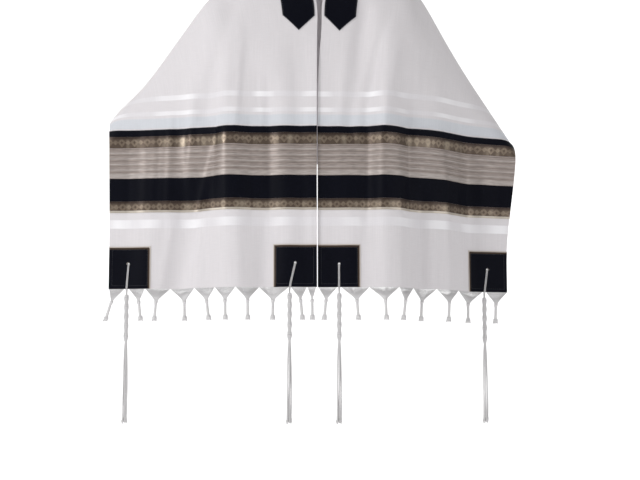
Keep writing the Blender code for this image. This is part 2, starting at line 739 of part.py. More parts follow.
def add_strands(bm, centre, ways, faces):
    """Eight strands that hang apart from the foot of the head, each with a small end knot."""
    for number, face in enumerate(faces):
        root = face.calc_center_median()
        middle = Vector((centre.x, centre.y, root.z))
        end = STRAND_END_DROP - STRAND_UNEVENNESS * (number % 3)
        stops = [
            (HEAD_END_DROP + 0.004, STRAND_SIZE),
            (end - END_KNOT_HEIGHT, STRAND_SIZE),
            (end - END_KNOT_HEIGHT / 2, END_KNOT_SIZE),
            (end, STRAND_SIZE),
        ]
        for drop, size in stops:
            face = push_out(bm, face)
            place = middle + (root - middle) * STRAND_SPREAD
            place.z = HEM_Z - drop
            set_section(face, place, ways[0], size / 2, ways[1], size / 2)


def main():
    for obj in list(bpy.data.objects):
        bpy.data.objects.remove(obj)
    make_cloth()
    make_ribbons()
    make_neck_band()
    make_patches()
    for side in SIDES:
        make_fringe(side)
    for item in TZITZIT:
        make_tzitzit(item)


main()
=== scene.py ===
# %% [markdown]
# # A tallit prayer shawl
# A tallit is one long rectangle of white woven cloth. It lies behind the neck, falls over the
# shoulders and arms, and its two ends hang in front. This lesson takes a plain, exact model of it
# and dresses it: finer cloth, ribbons, corner patches, a neck band, knotted fringe and tassels.
# All sizes are in metres. The origin is at the neck, +Z is up and the front faces -Y.

# %% Load the plain model
import math
from collections import namedtuple
from functools import lru_cache

import bmesh
import bpy
import numpy as np
from mathutils import Matrix, Vector


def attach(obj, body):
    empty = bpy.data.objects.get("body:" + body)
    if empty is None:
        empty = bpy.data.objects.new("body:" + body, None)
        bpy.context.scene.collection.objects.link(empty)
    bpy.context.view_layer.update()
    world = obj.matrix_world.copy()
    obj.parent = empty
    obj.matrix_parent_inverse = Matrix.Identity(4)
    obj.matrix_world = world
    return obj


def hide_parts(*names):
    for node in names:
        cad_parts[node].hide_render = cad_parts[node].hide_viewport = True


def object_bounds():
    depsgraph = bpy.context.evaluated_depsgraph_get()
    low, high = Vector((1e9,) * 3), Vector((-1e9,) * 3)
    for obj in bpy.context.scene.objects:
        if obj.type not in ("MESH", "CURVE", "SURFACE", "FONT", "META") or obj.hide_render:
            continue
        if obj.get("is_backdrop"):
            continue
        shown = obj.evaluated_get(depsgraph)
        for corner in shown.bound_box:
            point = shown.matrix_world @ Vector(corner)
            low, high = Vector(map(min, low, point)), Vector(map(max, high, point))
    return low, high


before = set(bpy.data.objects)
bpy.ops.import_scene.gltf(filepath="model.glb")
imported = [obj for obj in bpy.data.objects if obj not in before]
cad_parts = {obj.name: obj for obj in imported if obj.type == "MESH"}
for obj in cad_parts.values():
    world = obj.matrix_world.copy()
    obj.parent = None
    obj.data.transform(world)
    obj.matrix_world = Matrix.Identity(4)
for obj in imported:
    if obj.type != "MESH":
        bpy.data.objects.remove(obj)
cad_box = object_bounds()


def show_box(name, box):
    """Prints the low and the high corner of a box."""
    low, high = ([round(v, 3) for v in corner] for corner in box)
    print(name, "from", low, "to", high)


show_box("plain model", cad_box)

# %% [markdown]
# ## The camera
# The picture looks at the shawl from a little to its left and from below its middle. A lens of
# about 76 mm keeps the stripes nearly parallel, as in the picture. The camera comes first, so
# that every later step can be looked at through it.

# %% Set up the camera
CAMERA_PLACE = Vector((-0.366, -3.108, -1.059))
CAMERA_TURN = math.radians(7.0)
CAMERA_TILT = math.radians(6.75)
LENS = 76.0

SHAWL_MIDDLE = Vector((0.0, -0.13, -0.5))


def add_object(name, data):
    """Puts an object in the scene."""
    made = bpy.data.objects.new(name, data)
    bpy.context.scene.collection.objects.link(made)
    return made


camera_data = bpy.data.cameras.new("camera")
camera_data.lens = LENS
camera_data.sensor_width = 36.0
camera = add_object("camera", camera_data)
level = math.cos(CAMERA_TILT)
aim = (math.sin(CAMERA_TURN) * level, math.cos(CAMERA_TURN) * level, math.sin(CAMERA_TILT))
camera.location = CAMERA_PLACE
camera.rotation_euler = Vector(aim).to_track_quat("-Z", "Y").to_euler()
bpy.context.scene.camera = camera
print("camera", round((CAMERA_PLACE - SHAWL_MIDDLE).length, 2), "m from the cloth")

# %% [markdown]
# ## The sizes of the cut and the way it hangs
# Each thread of the cloth runs up one front from the hem, over the shoulder or arm, and round the
# back to the other front. A spot on the cloth is named by its side, by its distance across from
# the neck edge and by its distance up from the hem. The tables give the line of shoulder and arm
# that carries the cloth and the large folds, so that the fine cloth lies where the plain one does.

# %% The cut
CLOTH_WIDTH = 0.508
CLOTH_WALL = 0.0012
TRIM_WALL = 0.0008
TRIM_GAP = 0.0004
PATCH = 0.096
HEM_Z = -0.81
NECK_HALF_WIDTH = 0.064
ARM_END_X = 0.460
NAPE_Z = 0.030
BACK_FALL = 1.02
NECK_OPEN_DEPTH = 0.20
ARM_TURN_DEPTH = 0.30
SIDES = {"left": -1.0, "right": 1.0}
HEM_STRETCH = {"left": 1.02, "right": 0.98}
RIDGE_STRETCH = {"left": 1.03, "right": 1.04}
LAP_FORWARD = {"left": 0.0055, "right": 0.0}
LAP_WIDTH = 0.035
LAP_TOP_Z = -0.20
LAP_FADE = 0.10

# %% The line of shoulder and arm, and the round of the back
Section = namedtuple("Section", "x ridge_z ridge_y depth_left depth_right front_drop")
FIGURE = [
    Section(0.000, 0.010, 0.000, 0.132, 0.132, 0.260),
    Section(0.066, 0.000, 0.000, 0.127, 0.138, 0.250),
    Section(0.100, -0.015, 0.000, 0.123, 0.142, 0.240),
    Section(0.150, -0.042, 0.001, 0.117, 0.151, 0.220),
    Section(0.200, -0.078, 0.003, 0.110, 0.150, 0.190),
    Section(0.250, -0.134, 0.005, 0.092, 0.128, 0.160),
    Section(0.300, -0.207, 0.008, 0.069, 0.099, 0.130),
    Section(0.350, -0.283, 0.012, 0.055, 0.074, 0.105),
    Section(0.400, -0.358, 0.017, 0.049, 0.062, 0.080),
    Section(0.460, -0.4485, 0.025, 0.048, 0.062, 0.062),
]

# Where the two neck edges hang, one beside the other
Edge = namedtuple("Edge", "z left right")
EDGES = [
    Edge(-0.81, -0.0080, -0.0055),
    Edge(-0.50, -0.0085, -0.0060),
    Edge(-0.40, -0.0085, -0.0060),
    Edge(-0.30, -0.0085, -0.0030),
    Edge(-0.20, -0.0085, 0.0050),
]

# One shoulder or arm is carried a little higher than the table says
Lift = namedtuple("Lift", "side x half_width height")
LIFTS = [
    Lift("left", 0.455, 0.050, 0.030),
    Lift("right", 0.210, 0.070, 0.022),
]

Back = namedtuple("Back", "across middle_y round_depth round_reach")
BACK = [
    Back(0.000, 0.066, 0.066, 0.066),
    Back(0.060, 0.092, 0.064, 0.085),
    Back(0.130, 0.110, 0.062, 0.095),
    Back(0.240, 0.122, 0.058, 0.080),
    Back(0.370, 0.126, 0.046, 0.052),
    Back(0.508, 0.120, 0.035, 0.034),
]

# %% The large folds, each along a line from low to high
Fold = namedtuple("Fold", "x_low z_low x_high z_high half_width height")
FOLDS = {
    "front": [
        Fold(-0.060, -0.90, -0.105, -0.20, 0.034, 0.0055),
        Fold(-0.122, -0.90, -0.118, -0.30, 0.026, -0.0085),
        Fold(-0.182, -0.90, -0.230, -0.10, 0.034, 0.0105),
        Fold(-0.262, -0.46, -0.185, -0.06, 0.024, -0.0095),
        Fold(-0.345, -0.90, -0.275, -0.48, 0.026, -0.0100),
        Fold(-0.395, -0.90, -0.350, -0.36, 0.032, 0.0060),
        Fold(0.066, -0.90, 0.074, -0.22, 0.030, 0.0060),
        Fold(0.060, -0.50, 0.112, -0.08, 0.020, -0.0090),
        Fold(0.146, -0.90, 0.150, -0.14, 0.030, 0.0100),
        Fold(0.222, -0.90, 0.200, -0.30, 0.028, -0.0120),
        Fold(0.300, -0.90, 0.275, -0.26, 0.034, 0.0080),
        Fold(0.372, -0.90, 0.355, -0.40, 0.024, -0.0065),
    ],
    "back": [
        Fold(-0.345, -0.60, -0.275, -0.24, 0.026, -0.0100),
        Fold(-0.245, -0.60, -0.165, -0.16, 0.034, 0.0120),
        Fold(-0.150, -0.60, -0.080, -0.10, 0.028, -0.0130),
        Fold(-0.030, -0.60, -0.012, -0.14, 0.036, 0.0110),
        Fold(0.085, -0.60, 0.055, -0.10, 0.028, -0.0120),
        Fold(0.190, -0.60, 0.130, -0.14, 0.034, 0.0130),
        Fold(0.300, -0.60, 0.235, -0.22, 0.026, -0.0110),
        Fold(0.385, -0.60, 0.330, -0.32, 0.022, 0.0070),
    ],
}
FOLD_FADE = 0.12
FOLD_FOOT_FADE = 0.04
RIDGE_FADE = 0.07
print(sum(map(len, FOLDS.values())), "large folds")

# %% [markdown]
# ## Fine creases
# Between its large folds, real cloth has many small ones. They start where the cloth is carried or
# where a stiff ribbon is sewn on, and each has its own length and depth. A few written rows look
# more like cloth than an even ripple does. A row is a line on the flat cut, from a low spot to a
# high one, with half its width and how far it stands out. Where `up` passes the shoulder, the
# crease lies on the back.

# %% The fine creases
Crease = namedtuple("Crease", "across_low up_low across_high up_high half_width height")
CREASES = {
    "left": [
        Crease(0.014, 0.10, 0.022, 0.46, 0.008, 0.0011),
        Crease(0.040, 0.20, 0.052, 0.60, 0.010, -0.0012),
        Crease(0.086, 0.02, 0.080, 0.30, 0.012, -0.0010),
        Crease(0.117, 0.12, 0.128, 0.52, 0.009, 0.0024),
        Crease(0.148, 0.10, 0.156, 0.44, 0.011, -0.0030),
        Crease(0.178, 0.00, 0.186, 0.24, 0.011, 0.0010),
        Crease(0.198, 0.22, 0.176, 0.64, 0.009, 0.0024),
        Crease(0.212, 0.10, 0.216, 0.40, 0.010, 0.0014),
        Crease(0.246, 0.16, 0.240, 0.50, 0.008, -0.0022),
        Crease(0.272, 0.00, 0.262, 0.22, 0.012, -0.0010),
        Crease(0.322, 0.16, 0.300, 0.52, 0.013, 0.0036),
        Crease(0.396, -0.05, 0.345, 0.22, 0.012, 0.0026),
        Crease(0.352, -0.05, 0.226, 0.44, 0.025, -0.0100),
        Crease(0.372, 0.12, 0.360, 0.44, 0.010, 0.0028),
        Crease(0.402, 0.14, 0.390, 0.42, 0.007, -0.0011),
        Crease(0.432, 0.12, 0.424, 0.40, 0.009, 0.0012),
        Crease(0.470, 0.10, 0.462, 0.38, 0.008, -0.0010),
        Crease(0.090, 0.90, 0.110, 1.05, 0.014, 0.0014),
        Crease(0.170, 0.86, 0.190, 1.06, 0.012, -0.0016),
        Crease(0.260, 0.76, 0.250, 1.04, 0.013, 0.0015),
        Crease(0.340, 0.68, 0.330, 0.99, 0.012, -0.0014),
        Crease(0.420, 0.60, 0.410, 0.92, 0.012, 0.0013),
        Crease(0.476, 0.54, 0.470, 0.86, 0.010, -0.0012),
    ],
    "right": [
        Crease(0.018, 0.12, 0.024, 0.44, 0.008, -0.0010),
        Crease(0.046, 0.18, 0.060, 0.56, 0.009, 0.0013),
        Crease(0.084, 0.12, 0.082, 0.40, 0.008, -0.0013),
        Crease(0.110, 0.10, 0.114, 0.44, 0.010, -0.0032),
        Crease(0.100, 0.34, 0.158, 0.66, 0.014, -0.0048),
        Crease(0.146, 0.30, 0.192, 0.62, 0.016, 0.0034),
        Crease(0.134, 0.02, 0.140, 0.30, 0.009, -0.0010),
        Crease(0.152, 0.14, 0.158, 0.54, 0.008, 0.0024),
        Crease(0.194, -0.05, 0.196, 0.32, 0.014, 0.0032),
        Crease(0.270, -0.05, 0.262, 0.26, 0.022, -0.0095),
        Crease(0.226, 0.14, 0.224, 0.46, 0.007, -0.0012),
        Crease(0.248, 0.16, 0.240, 0.60, 0.010, 0.0012),
        Crease(0.336, -0.05, 0.326, 0.34, 0.014, 0.0032),
        Crease(0.342, 0.14, 0.330, 0.46, 0.008, -0.0010),
        Crease(0.378, 0.10, 0.366, 0.42, 0.010, 0.0013),
        Crease(0.414, 0.12, 0.404, 0.40, 0.008, -0.0012),
        Crease(0.446, 0.08, 0.440, 0.38, 0.009, 0.0010),
        Crease(0.482, 0.10, 0.474, 0.36, 0.008, -0.0009),
        Crease(0.060, 0.90, 0.080, 0.99, 0.013, -0.0013),
        Crease(0.140, 0.88, 0.150, 1.01, 0.012, 0.0015),
        Crease(0.220, 0.80, 0.230, 1.02, 0.013, -0.0015),
        Crease(0.300, 0.70, 0.290, 0.98, 0.012, 0.0014),
        Crease(0.380, 0.62, 0.370, 0.93, 0.012, -0.0013),
        Crease(0.450, 0.54, 0.446, 0.86, 0.011, 0.0013),
    ],
}
CREASE_FADE = 0.3
print(sum(map(len, CREASES.values())), "fine creases")

# %% [markdown]
# ## From the tables to the draped surface
# Smooth curves run through the rows of each table. One function works out a single thread, and a
# net of threads 2 mm apart becomes the whole surface. The folds are then pushed out along the
# direction that faces out from the body. Every piece is laid on this one surface, so nothing
# sinks into the cloth or floats off it.

# %% Curves through the tables
def smooth(table, column, at):
    """The value of one column of a table, on a smooth curve through its rows."""
    keys = np.array([row[0] for row in table])
    values = np.array([getattr(row, column) for row in table])
    slopes = np.gradient(values, keys)
    at = np.clip(at, keys[0], keys[-1])
    i = np.clip(np.searchsorted(keys, at, side="right") - 1, 0, len(keys) - 2)
    step = keys[i + 1] - keys[i]
    t = (at - keys[i]) / step
    start = values[i] * (1 + 2 * t) * (1 - t) ** 2 + slopes[i] * step * t * (1 - t) ** 2
    end = values[i + 1] * t * t * (3 - 2 * t) + slopes[i + 1] * step * t * t * (t - 1)
    return start + end


def quarter_round(share):
    """0 to 1 along a quarter of an ellipse, then flat."""
    share = np.clip(share, 0.0, 1.0)
    return np.sqrt(1 - (1 - share) ** 2)


def ease(share):
    """0 to 1 with a soft start and a soft end."""
    share = np.clip(share, 0.0, 1.0)
    return share * share * (3 - 2 * share)


def lengths_along(path):
    """The length of a path up to each of its points."""
    steps = np.linalg.norm(np.diff(path, axis=0), axis=1)
    return np.concatenate([[0.0], np.cumsum(steps)])


@lru_cache(maxsize=None)
def hem_plan(side):
    """Lengths along the hem as seen from above, and the x of each."""
    x = np.linspace(0.0, ARM_END_X, 400)
    y = smooth(FIGURE, "ridge_y", x) - smooth(FIGURE, f"depth_{side}", x)
    return lengths_along(np.column_stack([x, y])), x


# %% One thread from the hem to the middle of the back
def ridge_height(side, x):
    """The height of the line that carries the cloth on one side."""
    height = smooth(FIGURE, "ridge_z", x)
    for lift in LIFTS:
        if lift.side == side:
            height = height + lift.height * np.exp(-(((x - lift.x) / lift.half_width) ** 2))
    return height


def front_thread(side, across):
    """Its points up the front, and the top of the shoulder or arm."""
    lengths, plan_x = hem_plan(side)
    share = across / CLOTH_WIDTH
    kept_flat = [0.0, PATCH, CLOTH_WIDTH - PATCH, CLOTH_WIDTH]
    reached = [0.0, PATCH, lengths[-1] - PATCH, lengths[-1]]
    hem_x = np.interp(np.interp(across, kept_flat, reached), lengths, plan_x)
    ridge_x = NECK_HALF_WIDTH + (ARM_END_X - NECK_HALF_WIDTH) * share
    ridge_z = float(ridge_height(side, ridge_x))
    ridge_y = float(smooth(FIGURE, "ridge_y", ridge_x))
    t = np.linspace(0.0, 1.0, 400)
    z = ridge_z - (ridge_z - HEM_Z) * (1 - t) ** 2
    x = hem_x + (ridge_x - hem_x) * np.clip((z - ridge_z) / NECK_OPEN_DEPTH + 1, 0, 1) ** 2
    drop = ridge_height(side, x) - z
    round_share = quarter_round(drop / smooth(FIGURE, "front_drop", x))
    y = smooth(FIGURE, "ridge_y", x) - smooth(FIGURE, f"depth_{side}", x) * round_share
    lap = ease(1 - x / LAP_WIDTH) * ease((LAP_TOP_Z - z) / LAP_FADE)
    y = y - LAP_FORWARD[side] * lap
    return np.column_stack([x, y, z]), (ridge_x, ridge_y, ridge_z)


def back_thread(across, ridge):
    """Its points from the top of the shoulder or arm to the middle of the back."""
    ridge_x, ridge_y, ridge_z = ridge
    middle_y = float(smooth(BACK, "middle_y", across))
    round_depth = float(smooth(BACK, "round_depth", across))
    round_reach = float(smooth(BACK, "round_reach", across))
    middle_z = NAPE_Z - BACK_FALL * across
    inward = np.linspace(0.0, 1.0, 300)[1:] ** 2
    bow = 1 - (1 - inward) ** 2
    y = ridge_y + round_depth * quarter_round(ridge_x * inward / round_reach)
    y = y + (middle_y - ridge_y - round_depth) * bow
    return np.column_stack([ridge_x * (1 - inward), y, ridge_z + (middle_z - ridge_z) * bow])


def thread(side, across):
    """Lengths along one thread, its points, and the length at which it passes the shoulder."""
    front, ridge = front_thread(side, across)
    points = np.concatenate([front, back_thread(across, ridge)])
    rise = np.ones(len(points))
    rise[: len(front)] = ease((front[:, 2] - ridge[2]) / ARM_TURN_DEPTH + 1)
    stretch = HEM_STRETCH[side] + (RIDGE_STRETCH[side] - HEM_STRETCH[side]) * rise
    points[:, 0] = SIDES[side] * points[:, 0] * stretch
    edge_x = smooth(EDGES, side, points[:, 2])
    points[:, 0] += edge_x * (1 - across / CLOTH_WIDTH) * (1 - rise)
    lengths = lengths_along(points)
    return lengths, points, lengths[len(front) - 1]


# %% How far the folds and creases stand out
def fold_height(points, is_front):
    """The height of the large folds at each point of a net."""
    height = np.zeros(points.shape[:2])
    x, z = points[:, :, 0], points[:, :, 2]
    for face, here in (("front", is_front), ("back", ~is_front)):
        for fold in FOLDS[face]:
            share = np.clip((z - fold.z_low) / (fold.z_high - fold.z_low), 0.0, 1.0)
            line_x = fold.x_low + (fold.x_high - fold.x_low) * share
            bell = np.exp(-(((x - line_x) / fold.half_width) ** 2))
            fade = ease((fold.z_high - z) / FOLD_FADE) * ease((z - fold.z_low) / FOLD_FOOT_FADE)
            height += np.where(here, fold.height * bell * fade, 0.0)
    return height


def crease_height(side, across, up):
    """The height of the fine creases at each spot of a net."""
    height = np.zeros(np.broadcast(across, up).shape)
    for crease in CREASES[side]:
        share = (up - crease.up_low) / (crease.up_high - crease.up_low)
        line = crease.across_low + (crease.across_high - crease.across_low) * share
        bell = np.exp(-(((across - line) / crease.half_width) ** 2))
        fade = ease(share / CREASE_FADE + 0.5 * (crease.up_low <= 0.0))
        height += crease.height * bell * fade * ease((1 - share) / CREASE_FADE)
    return height


# %% The net of threads
NET_STEP = 0.002
NET_LOW = -0.012
NET_HIGH = 1.110
Half = namedtuple("Half", "points outward ridge end")


def outward_of(points, side):
    """The outward direction at each point of a net."""
    over = np.gradient(points, axis=0)
    along = np.gradient(points, axis=1)
    normal = np.cross(over, along) * SIDES[side]
    return normal / np.linalg.norm(normal, axis=2, keepdims=True)


def drape(side):
    """One half of the draped cloth, as a net of points 2 mm apart."""
    across = np.arange(0.0, CLOTH_WIDTH + NET_STEP / 2, NET_STEP)
    up = np.arange(NET_LOW, NET_HIGH, NET_STEP)
    points = np.empty((len(across), len(up), 3))
    ridge = np.empty(len(across))
    end = np.empty(len(across))
    for i, distance in enumerate(across):
        lengths, line, ridge[i] = thread(side, distance)
        end[i] = lengths[-1]
        for axis in range(3):
            points[i, :, axis] = np.interp(up, lengths, line[:, axis])
        points[i, :, 2] += np.minimum(up, 0.0)
        points[i, :, 0] -= SIDES[side] * np.maximum(up - end[i], 0.0)
    past = up[None, :] - ridge[:, None]
    height = fold_height(points, past < 0) * ease(np.abs(past) / RIDGE_FADE)
    height += crease_height(side, across[:, None], up[None, :])
    points = points + outward_of(points, side) * height[:, :, None]
    return Half(points, outward_of(points, side), ridge, end)


NETS = {side: drape(side) for side in SIDES}
for side, half in NETS.items():
    print(side, "threads", round(half.end.min(), 3), "to", round(half.end.max(), 3), "m long")


# %% Find a spot on the surface
def between(values, across):
    """Values kept for each thread of the net, read at any distances across."""
    return np.interp(across, np.arange(len(values)) * NET_STEP, values)


def place(side, across, up, lift=0.0):
    """Points over the cloth: lift is how far they stand off the middle of its wall."""
    half = NETS[side]
    across, up, lift = np.broadcast_arrays(np.asarray(across, float), up, lift)
    i = np.clip(across / NET_STEP, 0, half.points.shape[0] - 1.001)
    j = np.clip((up - NET_LOW) / NET_STEP, 0, half.points.shape[1] - 1.001)
    i0, j0 = i.astype(int), j.astype(int)
    s, t = (i - i0)[..., None], (j - j0)[..., None]
    found = []
    for net in (half.points, half.outward):
        low = net[i0, j0] * (1 - s) + net[i0 + 1, j0] * s
        high = net[i0, j0 + 1] * (1 - s) + net[i0 + 1, j0 + 1] * s
        found.append(low * (1 - t) + high * t)
    return found[0] + found[1] * lift[..., None]


# %% [markdown]
# ## Helpers for sheets
# Each sewn piece starts as a grid from `create_grid`. One direction of the grid is the distance
# across and the other runs along the thread. A UV map named `cut` keeps the flat place of every
# corner in metres, so that stripes, weave and stitches follow the thread when the cloth bends.
# Solidify gives the wall, and edges sharper than 50 degrees stay crisp.

# %% Lay a grid on the surface
Station = namedtuple("Station", "side ups")
SHARP_ANGLE = math.radians(50.0)


def add_piece(name, mesh, material):
    """Puts a mesh in the scene as a piece that rides on the shawl."""
    piece = add_object(name, mesh)
    mesh.materials.clear()
    mesh.materials.append(material)
    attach(piece, "root")
    return piece


def evaluated_mesh(item):
    """The mesh that an object's modifiers or bevel make."""
    seen = item.evaluated_get(bpy.context.evaluated_depsgraph_get())
    return bpy.data.meshes.new_from_object(seen)


def bake_modifiers(piece):
    """Replaces a piece's mesh by the one that its modifiers make."""
    made = evaluated_mesh(piece)
    piece.modifiers.clear()
    piece.data = made
    made.shade_smooth()
    made.set_sharp_from_angle(angle=SHARP_ANGLE)


def mesh_from(bm, name):
    """Turns a bmesh into a mesh and frees it."""
    mesh = bpy.data.meshes.new(name)
    bm.to_mesh(mesh)
    bm.free()
    return mesh


def read_all(items, field, width=1, kind=float):
    """One field of all vertices, loops or corners of a map, as a table of that width."""
    values = np.empty(len(items) * width, kind)
    items.foreach_get(field, values)
    return values if width == 1 else values.reshape(-1, width)


def grid_mesh(name, columns, stations, lift):
    """A grid of quads on the surface, with its flat places in the UV map named cut."""
    bm = bmesh.new()
    across_cells, up_cells = len(columns) - 1, len(stations) - 1
    bmesh.ops.create_grid(bm, x_segments=across_cells, y_segments=up_cells, size=1.0)
    mesh = mesh_from(bm, name)
    flat = read_all(mesh.vertices, "co", 3)
    column = np.rint((flat[:, 0] + 1) / 2 * across_cells).astype(int)
    row = np.rint((flat[:, 1] + 1) / 2 * up_cells).astype(int)
    columns = np.asarray(columns)
    spots = np.array([place(s.side, columns, s.ups, lift) for s in stations])
    mesh.vertices.foreach_set("co", spots[row, column].ravel())
    add_cut_map(mesh, columns, stations, column, row)
    if stations[0].side == "left":
        mesh.flip_normals()
    mesh.update()
    return mesh


def add_cut_map(mesh, columns, stations, column, row):
    """The UV map cut: distance across, and distance up from the nearer hem."""
    ups = np.array([s.ups for s in stations])
    is_right = np.array([s.side == "right" for s in stations])
    corner = read_all(mesh.loops, "vertex_index", kind=int)
    highest = row[corner].reshape(-1, 4).max(axis=1)
    on_right = np.repeat(is_right[highest], 4)
    up = ups[row[corner], column[corner]]
    at_middle = on_right & ~is_right[row[corner]]
    up = np.where(at_middle, between(NETS["right"].end, columns[column[corner]]), up)
    cut = mesh.uv_layers.new(name="cut")
    cut.data.foreach_set("uv", np.column_stack([columns[column[corner]], up]).ravel())


def make_sheet(name, columns, stations, lift, wall, material):
    """A sewn piece: a grid on the surface with its wall."""
    piece = add_piece(name, grid_mesh(name, columns, stations, lift), material)
    thickness = piece.modifiers.new("wall", "SOLIDIFY")
    thickness.thickness = wall
    thickness.offset = 0.0
    return piece


# %% [markdown]
# ## Helpers for finishes
# A finish is a small tree of shader nodes. These helpers add a node and join it up in one line.
# Stripes come from a colour ramp that reads the distance up from the hem, and its stops come from
# a table, so that a stripe is moved by changing one number.

# %% Nodes in one line
def new_finish(name, roughness, sheen=0.0, metallic=0.0, specular=0.5):
    """A material and its shader."""
    material = bpy.data.materials.new(name)
    material.use_nodes = True
    shader = material.node_tree.nodes["Principled BSDF"]
    shader.inputs["Roughness"].default_value = roughness
    shader.inputs["Specular IOR Level"].default_value = specular
    shader.inputs["Sheen Weight"].default_value = sheen
    shader.inputs["Sheen Roughness"].default_value = 0.5
    shader.inputs["Metallic"].default_value = metallic
    return material, shader


def is_socket(value):
    """Whether a value comes from another node."""
    return isinstance(value, bpy.types.NodeSocket)


def add_node(tree, kind, inputs=None, **settings):
    """Adds a node, sets it and joins its inputs: a socket is linked, anything else is a value."""
    made = tree.nodes.new(kind)
    for name, value in settings.items():
        setattr(made, name, value)
    for socket, source in (inputs or {}).items():
        if is_socket(source):
            tree.links.new(source, made.inputs[socket])
        else:
            made.inputs[socket].default_value = source
    return made


def extend(kind, inputs, output=0, **settings):
    """Adds a node to the tree that its inputs come from, and gives one of its outputs."""
    tree = next(source.id_data for source in inputs.values() if is_socket(source))
    return add_node(tree, kind, inputs, **settings).outputs[output]


def maths(operation, *values):
    """One step of arithmetic on sockets or numbers."""
    return extend("ShaderNodeMath", dict(enumerate(values)), operation=operation)


def wave(along, pitch):
    """A sine wave along one direction of the cloth."""
    return maths("SINE", maths("MULTIPLY", along, math.tau / pitch))


def remap(value, low, high, to_low=0.0, to_high=1.0):
    """Reads a value between low and high as one between two others."""
    ends = {"From Min": low, "From Max": high, "To Min": to_low, "To Max": to_high}
    return extend("ShaderNodeMapRange", {"Value": value, **ends})


def cut_place(material):
    """The distance across, the distance up, and both as one vector, in metres."""
    flat = add_node(material.node_tree, "ShaderNodeUVMap", uv_map="cut").outputs[0]
    parts = add_node(material.node_tree, "ShaderNodeSeparateXYZ", {0: flat}).outputs
    return parts[0], parts[1], flat


def join(source, shader, socket):
    """Links a socket to one input of a shader."""
    shader.id_data.links.new(source, shader.inputs[socket])


RAMP_SOFT = 0.0006


def stripe_ramp(up, ground, stripes, reach=0.5):
    """A ramp along the distance up: ground, but for a stripe (low, high, colour) here and there."""
    ramp = add_node(up.id_data, "ShaderNodeValToRGB", {0: maths("DIVIDE", up, reach)})
    elements = ramp.color_ramp.elements
    elements.remove(elements[1])
    elements[0].position = 0.0
    elements[0].color = (*ground, 1.0)
    for low, high, colour in stripes:
        stops = [(low, ground), (low + RAMP_SOFT, colour), (high - RAMP_SOFT, colour)]
        for position, shown in stops + [(high, ground)]:
            elements.new(position / reach).color = (*shown, 1.0)
    return ramp.outputs[0]


def mix_colour(factor, first, second, blend="MIX"):
    """A mix of two colours, each a socket or a tuple."""
    sources = [(*v, 1.0) if isinstance(v, tuple) else v for v in (factor, first, second)]
    inputs = dict(zip((0, 6, 7), sources))
    return extend("ShaderNodeMix", inputs, 2, data_type="RGBA", blend_type=blend)


def thread_noise(flat, scale, detail=2.0):
    """Noise with its own scale across the cloth and up it, so that it looks like threads."""
    stretched = extend("ShaderNodeVectorMath", {0: flat, 1: (*scale, 1.0)}, operation="MULTIPLY")
    return extend("ShaderNodeTexNoise", {"Vector": stretched, "Scale": 1.0, "Detail": detail})


def add_bump(shader, height, distance, strength):
    """Fine relief that bends the light and leaves the mesh as it is."""
    inputs = {"Height": height, "Distance": distance, "Strength": strength}
    join(extend("ShaderNodeBump", inputs), shader, "Normal")


# %% [markdown]
# ## The white cloth
# The cloth is plain-woven wool, soft and dull, with a few stripes in satin weave. Satin has nearly
# the same colour, but its threads lie flat and catch the light, so those stripes are smoother.
# Their
# glints are partly painted: in patches the stripes are made lighter in the colour. One more stripe
# is blue-grey. The weave is two sets of fine waves at right angles that read the UV map, each
# strong where the other is weak, with uneven threads over them.

# %% The finish of the cloth
WOOL = (0.625, 0.600, 0.615)
SATIN = (0.650, 0.630, 0.650)
SATIN_GLINT = (0.82, 0.81, 0.83)
BLUE_GREY = (0.55, 0.565, 0.60)
WOVEN_STRIPES = [
    (0.138, 0.158, SATIN),
    (0.3685, 0.391, BLUE_GREY),
    (0.397, 0.408, SATIN),
    (0.433, 0.444, SATIN),
]
WEAVE_PITCH = 0.0016
SLUBS = (40.0, 900.0)
WARPS = (700.0, 12.0)
GLINT_PATCHES = (17.0, 3.0)
WOOL_ROUGHNESS = 0.85
SATIN_ROUGHNESS = 0.38


def make_wool():
    """White wool with its woven stripes."""
    material, shader = new_finish("white_wool", WOOL_ROUGHNESS, sheen=0.12, specular=0.3)
    across, up, flat = cut_place(material)
    uneven = maths("ADD", thread_noise(flat, SLUBS), thread_noise(flat, WARPS))
    tone = remap(uneven, 0.6, 1.4, 0.93, 1.03)
    colour = mix_colour(1.0, stripe_ramp(up, WOOL, WOVEN_STRIPES), tone, "MULTIPLY")
    satin = [(low, high, (1.0,) * 3) for low, high, shown in WOVEN_STRIPES if shown == SATIN]
    # Painted glints: in patches the satin stripes are made lighter in the colour.
    glint_spots = remap(thread_noise(flat, GLINT_PATCHES, 0.0), 0.42, 0.80)
    glint = maths("MULTIPLY", stripe_ramp(up, (0.0,) * 3, satin), glint_spots)
    join(mix_colour(glint, colour, SATIN_GLINT), shader, "Base Color")
    gloss = [(low, high, (SATIN_ROUGHNESS,) * 3) for low, high, _ in WOVEN_STRIPES]
    join(stripe_ramp(up, (WOOL_ROUGHNESS,) * 3, gloss), shader, "Roughness")
    weave = maths("MULTIPLY", wave(across, WEAVE_PITCH), wave(up, WEAVE_PITCH))
    add_bump(shader, maths("MULTIPLY_ADD", uneven, 0.6, weave), 0.0002, 0.6)
    return material


white_wool = make_wool()

# %% The cloth itself
CLOTH_COLUMNS = np.linspace(0.0, CLOTH_WIDTH, 109)
FRONT_ROWS = 184
BACK_ROWS = 34


def side_stations(side):
    """Rows from the hem to the middle of the back, along every thread at once."""
    ridge = between(NETS[side].ridge, CLOTH_COLUMNS)
    end = between(NETS[side].end, CLOTH_COLUMNS)
    ups = [ridge * share for share in np.linspace(0.0, 1.0, FRONT_ROWS + 1)]
    ups += [ridge + (end - ridge) * share for share in np.linspace(0.0, 1.0, BACK_ROWS + 1)[1:]]
    return [Station(side, up) for up in ups]


